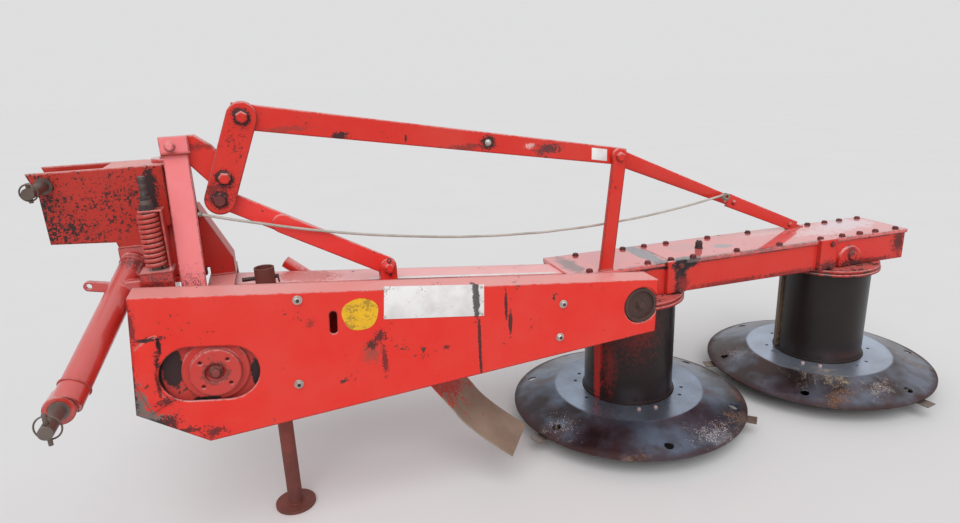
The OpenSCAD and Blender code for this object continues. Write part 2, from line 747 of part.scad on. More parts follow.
// Flange under the gear beam, on which a drum hangs, of two rings with a groove between them
module drum_flange(x) color(red) place() translate([x, 0, flange_z]) rotate_extrude()
    polygon([[spindle_r + fit, 0], [flange_r, 0], [flange_r, 0.4 * flange_h],
             [flange_r - 14, 0.4 * flange_h], [flange_r - 14, 0.56 * flange_h],
             [flange_r - 3, 0.56 * flange_h], [flange_r - 3, flange_h], [spindle_r + fit, flange_h]]);

module flange_inner() drum_flange(0);
module flange_outer() drum_flange(drum_spacing);

// Drum with its collar, closed top, spindle and upright ribs, the first rib at the angle turn
module drum(x, turn) color(soot) place() translate([x, 0, 0]) rotate(turn) {
    rotate_extrude()
        polygon([[0, disc_top_z], [spindle_r, disc_top_z], [spindle_r, drum_top_z - drum_lid_t],
                 [drum_r - drum_wall, drum_top_z - drum_lid_t], [drum_r - drum_wall, disc_top_z],
                 [drum_collar_r, disc_top_z], [drum_collar_r, disc_top_z + drum_collar_h],
                 [drum_r, disc_top_z + drum_collar_h], [drum_r, drum_top_z], [spindle_r, drum_top_z],
                 [spindle_r, gear_z + spindle_in], [0, gear_z + spindle_in]]);
    rib_z = disc_top_z + drum_collar_h;
    for (k = [0 : drum_ribs - 1]) rotate(360 / drum_ribs * k)
        translate([drum_r - drum_wall / 2, -drum_rib_w / 2, rib_z - 1])
            cube([drum_wall / 2 + drum_rib_h, drum_rib_w, drum_top_z - 14 - rib_z]);
}

module drum_inner() drum(0, 200);
module drum_outer() drum(drum_spacing, 156);

// Coned disc with its ring of access holes, each in line with a pair of small holes in the flat
module disc(x, turn) color(worn_steel) place() translate([x, 0, 0]) rotate(turn) difference() {
    rotate_extrude($fn = 96)
        polygon([[0, disc_under_z], [disc_flat_r, disc_under_z], [disc_r, disc_rim_z],
                 [disc_r, disc_rim_z + disc_t], [disc_flat_r, disc_top_z], [0, disc_top_z]]);
    for (k = [0 : disc_holes - 1]) rotate(360 / disc_holes * k) {
        translate([disc_hole_ring, 0, 0]) cylinder(h = disc_top_z, r = disc_hole_r);
        for (side = [-1, 1]) rotate(side * pair_angle / 2)
            translate([pair_ring, 0, 0]) cylinder(h = disc_top_z + 1, r = pair_hole_r);
    }
}

module disc_inner() disc(0, 21);
module disc_outer() disc(drum_spacing, 41);

// Flat knives under the rim, on bolts that hang from the disc
module knives(x, turn) color(steel) place() translate([x, 0, 0]) rotate(turn)
    for (k = [0 : knife_count - 1]) rotate(360 / knife_count * k) {
        translate([disc_r + knife_reach - knife_l, -knife_w / 2, knife_z]) cube([knife_l, knife_w, knife_t]);
        bolt_x = disc_r + knife_reach - knife_l + 22;
        translate([bolt_x, 0, knife_z]) cylinder(h = disc_under(bolt_x + 9) - knife_z, r = 9);
    }

module knives_inner() knives(0, 78);
module knives_outer() knives(drum_spacing, 42);

// Free-turning dish on which the drum rides over the ground
module skid(x) color(rust) place() translate([x, 0, 0]) {
    rotate_extrude($fn = 96)
        polygon([[0, 0], [skid_sole_r, 0], [skid_r, skid_rim_z - skid_t], [skid_r, skid_rim_z],
                 [skid_sole_r, skid_t], [70, skid_t], [60, disc_under_z - fit], [0, disc_under_z - fit]]);
}

module skid_inner() skid(0);
module skid_outer() skid(drum_spacing);

// Post on the gear beam, with the pin of the long bar
module post() color(red) place() {
    y1 = link_y - bar_t / 2 - 2;
    slab(y1 - post_t, y1) difference() {
        union() {
            translate(pin_post) circle(post_w / 2 + 4);
            polygon([[post_foot_x - post_w / 2, cover_z1], [post_foot_x + post_w / 2, cover_z1],
                     pin_post + [post_w / 2, 0], pin_post - [post_w / 2, 0]]);
        }
    }
    rod_y(pin_post[0], pin_post[1], y1 - post_t - 10, link_y + bar_t / 2 + 2 + post_t + 8, link_pin_r);
}

// Long flat from the post's top to the far edge of the cover
module long_brace() color(red) place() difference() {
    y0 = link_y + bar_t / 2 + 2;
    union() {
        hull() {
            rod_y(pin_post[0], pin_post[1], y0, y0 + post_t, post_w / 2 + 3);
            translate([brace_foot[0], brace_foot[1], cover_z1]) cube([brace_foot_l, post_t, 1]);
        }
        rod_y(rope_hook[0], rope_hook[1], -8, 24, 5);
    }
    rod_y(pin_post[0], pin_post[1], -200, 100, link_pin_r + fit);
}

module rope() color([0.7, 0.68, 0.64]) place() wire(smooth(rope_pts, 3), rope_r, 8);

// Bowed plate that turns the swath, on its hanger under the inner beam
module swath_plate() color(rust) place() {
    translate([swath_at[0], swath_at[1], 0]) rotate(-swath_turn) slab(0, swath_w)
        polygon(ribbon(concat([swath_top],
            [for (i = [0 : 8]) bow(swath_bow[0], swath_bow[1], swath_bow[2], i / 8)]), swath_t));
    slab(-36, -28)
        polygon(concat(hanger_at, [for (i = [1, 0]) [hanger_at[i][0], beam_top(hanger_at[i][0]) - beam_h]]));
}

module drive_belts() color(soot) place() difference() {
    a = [input_x, input_z];
    b = [small_pulley_x, small_pulley_z];
    slab(pulley_y0 + 4, pulley_y0 + pulley_w - 4)
        polygon(belt_outline(a, large_pulley_r + belt_t, b, small_pulley_r + belt_t, 24));
    slab(pulley_y0, pulley_y0 + pulley_w)
        polygon(belt_outline(a, large_pulley_r + fit, b, small_pulley_r + fit, 24));
}

module leg_socket() color(rust) place() difference() {
    union() {
        translate([leg_x, leg_y, socket_z0]) cylinder(h = socket_z1 - socket_z0, r = socket_r);
        translate([leg_x - 20, leg_y, beam_top(leg_x) - beam_h + 10])
            cube([40, -beam_w / 2 - leg_y, beam_h - 40]);
    }
    translate([leg_x, leg_y, socket_z0 - 1]) cylinder(h = 400, r = prop_r + fit);
}

module parking_leg() color(rust) place() {
    translate([leg_x, leg_y, 0]) cylinder(h = prop_l, r = prop_r);
    translate([leg_x, leg_y, 0]) cylinder(h = 8, r = 55);
}

// Large pulley, its hub with a recess and four holes, and the input shaft
module input_pulley() color(dark_red) place() {
    y0 = guard_y0 - 6;
    difference() {
        union() {
            rod_y(input_x, input_z, pulley_y0, pulley_y0 + pulley_w, large_pulley_r);
            rod_y(input_x, input_z, guard_y0 + 10, pulley_y0 + 1, hub_r + 18);
            rod_y(input_x, input_z, y0, pulley_y0, hub_r);
        }
        rod_y(input_x, input_z, y0 - 1, y0 + 14, 0.42 * hub_r);
        for (a = [45 : 90 : 315])
            rod_y(input_x + 0.74 * hub_r * cos(a), input_z + 0.74 * hub_r * sin(a), y0 - 1, y0 + 14, 4.5);
    }
    rod_y(input_x, input_z, y0 + 5, y0 + 20, 0.28 * hub_r);
    rod_y(input_x, input_z, pulley_y0 + 10, tube_y1 + 20, spline_r + 6);
    rod_y(input_x, input_z, tube_y1 + 19, tube_y1 + 20 + spline_l, spline_r);
}

// Small pulley with a dished cup on its near face
module output_pulley() color(soot) place() {
    y0 = guard_y0 + 2;
    rod_y(small_pulley_x, small_pulley_z, pulley_y0, pulley_y0 + pulley_w, small_pulley_r);
    rod_y(small_pulley_x, small_pulley_z, pulley_y0 + 10, -gear_w / 2 - 1, spline_r);
    difference() {
        rod_y(small_pulley_x, small_pulley_z, y0, pulley_y0 + 1, small_pulley_r + belt_t);
        rod_y(small_pulley_x, small_pulley_z, y0 - 1, y0 + 8, small_pulley_r - 3);
    }
    rod_y(small_pulley_x, small_pulley_z, y0 + 2, pulley_y0 + 1, 0.3 * small_pulley_r);
}

a_frame();
toplink_bracket();
kingpin();
hitch_pin_near();
hitch_pin_far();
toplink_pin();
release_spring();
spring_rod();
pivot_sleeve();
hinge_cheeks();
mast();
bent_arm();
lever();
long_bar();
strut_upper();
strut_lower();
inner_beam();
strut_lug();
guard_cover();
guard_back();
gear_beam();
gear_cover();
post();
long_brace();
rope();
swath_plate();
drive_belts();
leg_socket();
parking_leg();
input_pulley();
output_pulley();
flange_inner();
flange_outer();
drum_inner();
drum_outer();
disc_inner();
disc_outer();
knives_inner();
knives_outer();
skid_inner();
skid_outer();
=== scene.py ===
"""Looks of a two-drum rotary mower: its paint and wear, fasteners, rope, floor, lamps and camera."""

import logging
import math
from collections.abc import Iterable, Mapping, Sequence
from dataclasses import dataclass, field, replace
from enum import Enum
from typing import ClassVar

import bmesh
import bpy
from mathutils import Matrix, Vector


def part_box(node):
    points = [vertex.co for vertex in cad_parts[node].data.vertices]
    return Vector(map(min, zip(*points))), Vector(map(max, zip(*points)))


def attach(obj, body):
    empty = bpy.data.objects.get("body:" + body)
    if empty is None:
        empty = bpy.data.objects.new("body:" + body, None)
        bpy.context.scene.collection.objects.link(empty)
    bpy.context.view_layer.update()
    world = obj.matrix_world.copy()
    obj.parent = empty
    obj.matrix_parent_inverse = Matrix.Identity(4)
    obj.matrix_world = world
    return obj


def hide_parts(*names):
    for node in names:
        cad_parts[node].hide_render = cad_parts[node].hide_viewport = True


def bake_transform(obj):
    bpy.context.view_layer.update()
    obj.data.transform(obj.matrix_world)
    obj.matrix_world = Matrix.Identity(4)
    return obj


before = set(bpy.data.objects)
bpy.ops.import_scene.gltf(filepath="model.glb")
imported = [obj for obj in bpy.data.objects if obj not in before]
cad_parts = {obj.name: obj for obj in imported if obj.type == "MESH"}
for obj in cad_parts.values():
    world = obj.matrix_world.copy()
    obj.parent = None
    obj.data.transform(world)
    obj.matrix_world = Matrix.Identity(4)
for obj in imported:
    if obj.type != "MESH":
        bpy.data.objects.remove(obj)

log = logging.getLogger("mower")

Colour = tuple[float, float, float]
Place = tuple[float, float, float]
Flat = tuple[float, float]
Line = tuple[Place, ...]
Mesh = bmesh.types.BMesh
Ring = Sequence[bmesh.types.BMVert]
Socket = bpy.types.NodeSocket

MM = 0.001
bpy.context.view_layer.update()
INNER_AXIS_X = sum(corner.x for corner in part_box("flange_inner")) / 2
ORIGIN: Place = (0.0, 0.0, 0.0)
NEAR = Vector((0.0, -1.0, 0.0))
FAR = Vector((0.0, 1.0, 0.0))
UP = Vector((0.0, 0.0, 1.0))


def place(x: float, y: float, z: float) -> Vector:
    """Return the point that lies so many millimetres out from the inner drum's axis, away and up."""
    return Vector((INNER_AXIS_X + x * MM, y * MM, z * MM))


# Shading. Where a method takes a number, a colour or a vector, it takes an output socket too.


class NodeBench:
    """Adds nodes to one node tree and joins them."""

    def __init__(self, tree: bpy.types.NodeTree) -> None:
        """Keep the tree that is filled."""
        self.tree = tree

    def feed(self, socket: Socket, value: object) -> None:
        """Link an input to a socket, or set its value.

        Args:
            socket: The input.
            value: An output socket, a number, or a tuple of numbers.
        """
        if isinstance(value, Socket):
            self.tree.links.new(value, socket)
        elif socket.type == "RGBA" and len(value) == 3:
            socket.default_value = (*value, 1.0)
        else:
            socket.default_value = value

    def node(self, kind: str, inputs: Mapping[int | str, object] | None = None,
             **settings: object) -> bpy.types.Node:
        """Add a node.

        Args:
            kind: Blender's name of the node type.
            inputs: Values by the name or number of the input.
            **settings: Properties of the node.

        Returns:
            The node.
        """
        node = self.tree.nodes.new(kind)
        for name, value in settings.items():
            setattr(node, name, value)
        for name, value in (inputs or {}).items():
            self.feed(node.inputs[name], value)
        return node

    def math(self, operation: str, *values: object, clamp: bool = False) -> Socket:
        """Return the outcome of one operation on numbers."""
        inputs = dict(enumerate(values))
        return self.node("ShaderNodeMath", inputs, operation=operation, use_clamp=clamp).outputs[0]

    def plus(self, first: object, second: object) -> Socket:
        """Return the sum of two numbers."""
        return self.math("ADD", first, second)

    def minus(self, first: object, second: object) -> Socket:
        """Return the first number less the second."""
        return self.math("SUBTRACT", first, second)

    def times(self, first: object, second: object) -> Socket:
        """Return the product of two numbers."""
        return self.math("MULTIPLY", first, second)

    def between(self, value: object, low: object, high: object) -> Socket:
        """Return 0 below low, 1 above high, and a straight ramp between them."""
        inputs = {"Value": value, "From Min": low, "From Max": high}
        return self.node("ShaderNodeMapRange", inputs).outputs["Result"]

    def above(self, value: object, low: object, width: float) -> Socket:
        """Return 0 below low, and a straight ramp from there to 1."""
        return self.between(value, low, self.plus(low, width))

    def mix(self, share: object, first: object, second: object) -> Socket:
        """Return a blend of two colours: a share of 1 gives the second."""
        return self.node("ShaderNodeMix", {0: share, 6: first, 7: second}, data_type="RGBA").outputs[2]

    def blend(self, share: object, first: object, second: object) -> Socket:
        """Return a blend of two numbers: a share of 1 gives the second."""
        return self.node("ShaderNodeMix", {0: share, 2: first, 3: second}, data_type="FLOAT").outputs[0]

    def noise(self, vector: object, scale: object, detail: float = 3.0, roughness: float = 0.55) -> Socket:
        """Return cloudy noise from 0 to 1, with so many bumps to the metre."""
        inputs = {"Vector": vector, "Scale": scale, "Detail": detail, "Roughness": roughness}
        return self.node("ShaderNodeTexNoise", inputs).outputs["Fac"]

    def vector(self, operation: str, *values: object, output: int | str = 0) -> Socket:
        """Return the outcome of one operation on vectors."""
        return self.node("ShaderNodeVectorMath", dict(enumerate(values)), operation=operation).outputs[output]


class Effect(NodeBench):
    """A shader node group that the finishes share. Each kind fills its own."""

    name: ClassVar[str]
    inputs: ClassVar[Mapping[str, object]]
    outputs: ClassVar[tuple[str, ...]] = ("Mask",)

    def __init__(self) -> None:
        """Make the group, give it its sockets and fill it."""
        super().__init__(bpy.data.node_groups.new(self.name, "ShaderNodeTree"))
        for label, value in {"Vector": ORIGIN, **self.inputs}.items():
            self.socket(label, "INPUT", isinstance(value, tuple)).default_value = value
        for label in self.outputs:
            self.socket(label, "OUTPUT", label == "Normal")
        self.source = self.node("NodeGroupInput").outputs
        sink = self.node("NodeGroupOutput")
        for label, value in self.fill().items():
            self.feed(sink.inputs[label], value)

    def __getitem__(self, label: str) -> Socket:
        """Return one of the group's inputs."""
        return self.source[label]

    def socket(self, label: str, way: str, is_vector: bool) -> bpy.types.NodeTreeInterfaceSocket:
        """Return a new socket of the group: a vector or else a number."""
        kind = "NodeSocketVector" if is_vector else "NodeSocketFloat"
        return self.tree.interface.new_socket(name=label, in_out=way, socket_type=kind)

    def fill(self) -> Mapping[str, Socket]:
        """Return what feeds each output."""
        raise NotImplementedError


class WornEdge(Effect):
    """Ragged wear on edges, the normal that rounds them, and how far that normal points up."""

    name = "worn_edge"
    inputs = {"Radius": 0.002, "Amount": 0.5}
    outputs = ("Mask", "Normal", "Rise")
    samples = 4

    def fill(self) -> Mapping[str, Socket]:
        """Set the rounded normal against the plain one, and break up where they differ.

        Returns:
            What feeds each output.
        """
        spot = self["Vector"]
        bevel = self.node("ShaderNodeBevel", {"Radius": self["Radius"]}, samples=self.samples)
        rounded = bevel.outputs["Normal"]
        plain = self.node("ShaderNodeNewGeometry").outputs["Normal"]
        turn = self.minus(1.0, self.vector("DOT_PRODUCT", rounded, plain, output="Value"))
        rough = self.between(self.noise(spot, 90.0, 5.0, 0.7), 0.36, 0.60)
        fields = self.between(self.noise(spot, 8.0, 2.0), 0.34, 0.56)
        ragged = self.times(turn, self.times(rough, self.blend(fields, 0.35, 1.0)))
        low = self.minus(0.16, self.times(self["Amount"], 0.15))
        rise = self.node("ShaderNodeSeparateXYZ", {"Vector": rounded}).outputs["Z"]
        return {"Mask": self.above(ragged, low, 0.04), "Normal": rounded, "Rise": rise}


class Flakes(Effect):
    """Ragged flakes of lost paint, or of rust."""

    name = "paint_flakes"
    inputs = {"Scale": 6.0, "Cover": 0.3}

    def fill(self) -> Mapping[str, Socket]:
        """Cut fine noise off at a height, in fields that coarse noise sets.

        Returns:
            What feeds each output.
        """
        fields = self.minus(self.noise(self["Vector"], self["Scale"], 2.0), 0.5)
        flakes = self.noise(self["Vector"], self.times(self["Scale"], 6.0), 5.0, 0.66)
        height = self.plus(flakes, self.times(fields, 0.8))
        low = self.minus(0.92, self.times(self["Cover"], 0.5))
        return {"Mask": self.above(height, low, 0.02)}


class Streaks(Effect):
    """Dirt that has run down a wall."""

    name = "dirt_streaks"
    inputs = {"Scale": 30.0, "Cover": 0.3}

    def fill(self) -> Mapping[str, Socket]:
        """Draw noise out downwards, and cut it off at a height.

        Returns:
            What feeds each output.
        """
        drawn = self.vector("MULTIPLY", self["Vector"], (1.0, 1.0, 0.12))
        lines = self.noise(drawn, self["Scale"], 4.0, 0.6)
        fields = self.minus(self.noise(self["Vector"], 3.0, 2.0), 0.5)
        height = self.plus(lines, self.times(fields, 0.5))
        low = self.minus(0.86, self.times(self["Cover"], 0.4))
        return {"Mask": self.above(height, low, 0.16)}


class Blot(Effect):
    """One stain with a ragged rim."""

    name = "stain"
    inputs = {"Centre": ORIGIN, "Reach": (1.0, 1.0, 1.0), "Scale": 30.0, "Ragged": 0.6, "Soft": 0.8}

    def fill(self) -> Mapping[str, Socket]:
        """Measure from the centre in shares of the reach, and let noise move the rim.

        Returns:
            What feeds each output.
        """
        spot, scale = self["Vector"], self["Scale"]
        share = self.vector("DIVIDE", self.vector("SUBTRACT", spot, self["Centre"]), self["Reach"])
        length = self.vector("LENGTH", share, output="Value")
        rim = self.noise(spot, scale, 5.0, 0.66)
        fine = self.noise(spot, self.times(scale, 4.0), 4.0, 0.66)
        swing = self.times(self.minus(self.plus(rim, fine), 1.0), self["Ragged"])
        clear = self.between(self.plus(length, swing), self["Soft"], 1.0)
        return {"Mask": self.minus(1.0, clear)}


class Dust(Effect):
    """Dust on what faces up, and how far a face does so."""

    name = "dust"
    inputs = {"Scale": 14.0, "Cover": 0.5}
    outputs = ("Mask", "Up")

    def fill(self) -> Mapping[str, Socket]:
        """Let clouds of dust lie where the normal rises.

        Returns:
            What feeds each output.
        """
        normal = self.node("ShaderNodeNewGeometry").outputs["Normal"]
        rise = self.node("ShaderNodeSeparateXYZ", {"Vector": normal}).outputs["Z"]
        cloud = self.between(self.noise(self["Vector"], self["Scale"], 5.0, 0.65), 0.35, 0.75)
        lying = self.times(self.between(rise, 0.15, 0.9), cloud)
        return {"Mask": self.times(lying, self["Cover"]), "Up": self.between(rise, 0.30, 0.92)}


@dataclass(frozen=True)
class Effects:
    """The node groups, each made once."""

    edge: Effect = field(default_factory=WornEdge)
    flakes: Effect = field(default_factory=Flakes)
    streaks: Effect = field(default_factory=Streaks)
    stain: Effect = field(default_factory=Blot)
    dust: Effect = field(default_factory=Dust)


DULL_METALLIC = 0.1
CHIP_ROUGHNESS = 0.72
RUST_ROUGHNESS = 0.78
Look = dict[str, object]


class MaterialBench(NodeBench):
    """The nodes of one material."""

    def __init__(self, name: str, effects: Effects) -> None:
        """Start the material.

        Args:
            name: Its name.
            effects: The shared node groups.
        """
        self.material = bpy.data.materials.new(name)
        self.material.use_nodes = True
        self.material.node_tree.nodes.clear()
        super().__init__(self.material.node_tree)
        self.effects = effects
        self.spot = self.node("ShaderNodeTexCoord").outputs["Object"]

    def effect(self, group: Effect, **inputs: object) -> bpy.types.NodeOutputs:
        """Place a node group that reads the place on the piece, and return its outputs."""
        return self.node("ShaderNodeGroup", {"Vector": self.spot, **inputs}, node_tree=group.tree).outputs

    def bump(self, height: object, strength: float, distance: float, **normal: Socket) -> Socket:
        """Return the normal of a bump."""
        inputs = {"Height": height, "Strength": strength, "Distance": distance, **normal}
        return self.node("ShaderNodeBump", inputs).outputs["Normal"]

    def cover(self, look: Look, mask: Socket, stain: "Stain") -> None:
        """Lay one stain's colour and dullness over a look.

        Args:
            look: What feeds each input of the shader.
            mask: Where the stain lies.
            stain: The stain.
        """
        look["Base Color"] = self.mix(mask, look["Base Color"], stain.colour)
        look["Roughness"] = self.blend(mask, look["Roughness"], stain.roughness)
        if "Metallic" in look:
            look["Metallic"] = self.blend(mask, look["Metallic"], DULL_METALLIC)


@dataclass(frozen=True)
class Stain:
    """One mark on a painted or bare surface, or a patch of painted sheen or shade, in millimetres."""

    at: Place
    reach: Place
    colour: Colour
    strength: float
    ragged: float
    scale: float
    roughness: float = 0.75
    soft: float = 0.86

    def mask(self, bench: MaterialBench) -> Socket:
        """Return where the stain lies.

        Args:
            bench: The material's tree.

        Returns:
            The mask's socket.
        """
        centre, reach = tuple(place(*self.at)), tuple(side * MM for side in self.reach)
        blot = bench.effect(bench.effects.stain, Centre=centre, Reach=reach, Scale=self.scale,
                            Ragged=self.ragged, Soft=self.soft)
        return bench.times(blot["Mask"], self.strength)


@dataclass(frozen=True)
class Coating:
    """A finish, which makes one material. Each kind has its own look."""

    def look(self, bench: MaterialBench) -> Look:
        """Return what feeds each input of the shader."""
        raise NotImplementedError

    def material(self, name: str, effects: Effects) -> bpy.types.Material:
        """Build the material.

        Args:
            name: Its name.
            effects: The shared node groups.

        Returns:
            The material.
        """
        bench = MaterialBench(name, effects)
        shader = bench.node("ShaderNodeBsdfPrincipled", self.look(bench))
        bench.node("ShaderNodeOutputMaterial", {"Surface": shader.outputs["BSDF"]})
        return bench.material


@dataclass(frozen=True)
class Paint(Coating):
    """Gloss paint on steel, with its fading, flakes, edge wear and stains, and a painted sheen on faces and
    edges that look up.
    """

    colour: Colour = (0.740, 0.022, 0.012)
    faded: Colour = (0.730, 0.060, 0.042)
    bare: Colour = (0.045, 0.030, 0.028)
    # haze: how far faces that look up pale towards the haze colour, partly as chalky fading and partly as a
    # painted sheen of the sky.
    haze: float = 0.75
    haze_and_sheen_colour: Colour = (0.800, 0.360, 0.340)
    fade: float = 0.6
    flakes: float = 0.36
    flake_scale: float = 15.0
    edges: float = 0.85
    edge_reach: float = 0.007
    # Colour of worn edges that face up: wear, and also a painted highlight along top edges.
    edge_wear_and_highlight: Colour = (0.800, 0.440, 0.420)
    dirt: float = 0.2
    dust: float = 0.12
    roughness: float = 0.36
    specular: float = 0.32
    coat: float = 0.12
    coat_roughness: float = 0.15
    coat_ior: float = 1.5
    stains: tuple[Stain, ...] = ()

    def look(self, bench: MaterialBench) -> Look:
        """Fade the paint, pale what faces up with chalky haze and a painted sheen of the sky, and lay dirt,
        dust, flakes, wear and stains on it.

        Args:
            bench: The material's tree.

        Returns:
            What feeds each input of the shader.
        """
        spot, effects = bench.spot, bench.effects
        edge = bench.effect(effects.edge, Radius=self.edge_reach, Amount=self.edges)
        flakes = bench.effect(effects.flakes, Scale=self.flake_scale, Cover=self.flakes)["Mask"]
        streaks = bench.effect(effects.streaks, Scale=34.0, Cover=self.dirt)["Mask"]
        dust = bench.effect(effects.dust, Scale=16.0, Cover=self.dust)
        cloud = bench.between(bench.noise(spot, 5.0, 6.0, 0.66), 0.35, 0.70)
        colour = bench.mix(bench.times(cloud, self.fade), self.colour, self.faded)
        # Faces that look up are paled towards the haze colour: partly chalky fading, partly a painted sheen
        # of the sky on tops.
        chalk = bench.blend(bench.noise(spot, 9.0, 5.0, 0.65), 0.78, 1.15)
        pale = bench.math("MULTIPLY", bench.times(dust["Up"], chalk), self.haze, clamp=True)
        colour = bench.mix(pale, colour, self.haze_and_sheen_colour)
        colour = bench.mix(bench.times(streaks, 0.35), colour, DIRT)
        colour = bench.mix(dust["Mask"], colour, DUST)
        bare = bench.mix(bench.noise(spot, 38.0, 3.0), self.bare, RUST_DARK)
        colour = bench.mix(flakes, colour, bare)
        # Worn edges that face up take the pale worn colour, which is a painted highlight along top edges as
        # well as wear; edges that face down show the dark bare steel.
        rim = bench.mix(bench.between(edge["Rise"], 0.15, 0.45), bare, self.edge_wear_and_highlight)
        lost = bench.math("MAXIMUM", edge["Mask"], flakes)
        rough = bench.blend(lost, self.roughness, CHIP_ROUGHNESS)
        look = {"Base Color": bench.mix(edge["Mask"], colour, rim),
                "Roughness": bench.plus(rough, bench.times(bench.noise(spot, 22.0, 4.0), 0.10))}
        for stain in self.stains:
            bench.cover(look, stain.mask(bench), stain)
        peel = bench.times(bench.noise(spot, 160.0, 2.0), 0.08)
        height = bench.minus(peel, bench.times(lost, 0.55))
        return {**look, "Normal": bench.bump(height, 0.35, 0.0012, Normal=edge["Normal"]),
                "Coat Weight": bench.blend(lost, self.coat, 0.0), "Coat Roughness": self.coat_roughness,
                "Coat IOR": self.coat_ior, "Specular IOR Level": self.specular}


@dataclass(frozen=True)
class Metal(Coating):
    """Bare steel or iron, from bright to wholly rusted."""

    colour: Colour
    second: Colour
    rust: Colour = (0.20, 0.095, 0.045)
    rusted: float = 0.3
    rust_scale: float = 9.0
    metallic: float = 0.8
    roughness: float = 0.38
    patch_scale: float = 5.0
    edges: float = 0.2
    edge_reach: float = 0.0015
    stains: tuple[Stain, ...] = ()

    def look(self, bench: MaterialBench) -> Look:
        """Mottle the metal, and lay rust, bright edges and stains on it.

        Args:
            bench: The material's tree.

        Returns:
            What feeds each input of the shader.
        """
        spot, effects = bench.spot, bench.effects
        edge = bench.effect(effects.edge, Radius=self.edge_reach, Amount=self.edges)
        rust = bench.effect(effects.flakes, Scale=self.rust_scale, Cover=self.rusted)["Mask"]
        cloud = bench.between(bench.noise(spot, self.patch_scale, 5.0, 0.62), 0.36, 0.66)
        colour = bench.mix(cloud, self.colour, self.second)
        colour = bench.mix(bench.times(rust, 0.85), colour, self.rust)
        rough = bench.blend(rust, self.roughness, RUST_ROUGHNESS)
        look = {"Base Color": bench.mix(bench.times(edge["Mask"], 0.5), colour, WORN_BRIGHT),
                "Roughness": bench.plus(rough, bench.times(bench.noise(spot, 26.0, 4.0), 0.16)),
                "Metallic": bench.blend(rust, self.metallic, DULL_METALLIC)}
        for stain in self.stains:
            bench.cover(look, stain.mask(bench), stain)
        grain = bench.times(bench.noise(spot, 240.0, 4.0, 0.7), 0.3)
        height = bench.plus(grain, bench.times(rust, 0.3))
        return {**look, "Normal": bench.bump(height, 0.35, 0.001, Normal=edge["Normal"])}


@dataclass(frozen=True)
class DiscSteel(Coating):
    """Steel of a spinning disc: a polished flat middle, a dark mottled cone and a rusty rim."""

    axis_x: float
    flat: Colour
    flat_dull: Colour
    flat_r: float = 245.0
    rim_r: float = 386.0
    cone: Colour = (0.044, 0.035, 0.040)
    cone_blue: Colour = (0.140, 0.172, 0.235)
    cone_rust: Colour = (0.085, 0.044, 0.042)
    roughness: float = 0.15
    metallic: float = 0.85
    specks: tuple[Stain, ...] = ()

    def look(self, bench: MaterialBench) -> Look:
        """Part the disc by its radius, scratch it in rings and scatter specks on it.

        Args:
            bench: The material's tree.

        Returns:
            What feeds each input of the shader.
        """
        spot = bench.spot
        level = bench.vector("MULTIPLY", spot, (1.0, 1.0, 0.0))
        radius = bench.vector("DISTANCE", level, tuple(place(self.axis_x, 0.0, 0.0)), output="Value")
        wander = bench.times(bench.minus(bench.noise(spot, 16.0, 4.0), 0.5), 0.022)
        middle = bench.between(bench.plus(radius, bench.times(wander, 0.3)),
                               (self.flat_r + 4) * MM, (self.flat_r - 4) * MM)
        rim = bench.between(bench.plus(radius, bench.times(wander, 2.2)),
                            (self.rim_r - 26) * MM, (self.rim_r - 4) * MM)
        broad = bench.between(bench.noise(spot, 7.0, 3.0, 0.5), 0.40, 0.60)
        tint = bench.between(bench.noise(spot, 11.0, 4.0, 0.6), 0.50, 0.66)
        haze = bench.between(bench.noise(spot, 6.0, 5.0, 0.62), 0.36, 0.64)
        colour = bench.mix(broad, self.cone, self.cone_blue)
        colour = bench.mix(bench.times(tint, 0.7), colour, self.cone_rust)
        colour = bench.mix(middle, colour, bench.mix(haze, self.flat, self.flat_dull))
        rings = bench.node("ShaderNodeCombineXYZ", {"X": bench.times(radius, 900.0)}).outputs[0]
        rough = bench.plus(self.roughness, bench.times(bench.noise(rings, 1.0, 4.0, 0.7), 0.10))
        rough = bench.plus(rough, bench.times(bench.noise(spot, 30.0, 5.0, 0.66), 0.12))
        look = {"Base Color": bench.mix(bench.times(rim, 0.75), colour, self.cone_rust),
                "Roughness": rough, "Metallic": self.metallic}
        grain = bench.noise(spot, 420.0, 2.0, 0.5)
        for patch in self.specks:
            need = bench.blend(patch.mask(bench), 0.78, 0.54)
            bench.cover(look, bench.above(grain, need, 0.03), patch)
        look["Roughness"] = bench.plus(look["Roughness"], bench.times(rim, 0.35))
        return {**look, "Normal": bench.bump(bench.noise(spot, 260.0, 4.0, 0.7), 0.08, 0.001)}


@dataclass(frozen=True)
class Rubber(Coating):
    """Dull black rubber with chalky wear."""

    colour: Colour = (0.020, 0.020, 0.021)
    chalk: Colour = (0.075, 0.070, 0.065)

    def look(self, bench: MaterialBench) -> Look:
        """Chalk the rubber and dust it.

        Args:
            bench: The material's tree.

        Returns:
            What feeds each input of the shader.
        """
        dust = bench.effect(bench.effects.dust, Scale=30.0, Cover=0.6)["Mask"]
        cloud = bench.between(bench.noise(bench.spot, 24.0, 4.0), 0.4, 0.7)
        colour = bench.mix(cloud, self.colour, self.chalk)
        return {"Base Color": bench.mix(dust, colour, DUST), "Roughness": bench.blend(cloud, 0.62, 0.85)}


@dataclass(frozen=True)
class Film(Coating):
    """A thin blank sticker or plate, scratched and dirty."""

    colour: Colour
    dirt: Colour
    cover: float = 0.35
    stains: tuple[Stain, ...] = ()

    def look(self, bench: MaterialBench) -> Look:
        """Soil the film and scratch it.

        Args:
            bench: The material's tree.

        Returns:
            What feeds each input of the shader.
        """
        marks = bench.effect(bench.effects.flakes, Scale=34.0, Cover=self.cover)["Mask"]
        cloud = bench.between(bench.noise(bench.spot, 30.0, 4.0), 0.4, 0.75)
        colour = bench.mix(bench.times(cloud, 0.3), self.colour, self.dirt)
        colour = bench.mix(bench.times(marks, 0.8), colour, self.dirt)
        for stain in self.stains:
            colour = bench.mix(stain.mask(bench), colour, stain.colour)
        return {"Base Color": colour, "Roughness": bench.blend(marks, 0.38, 0.7)}


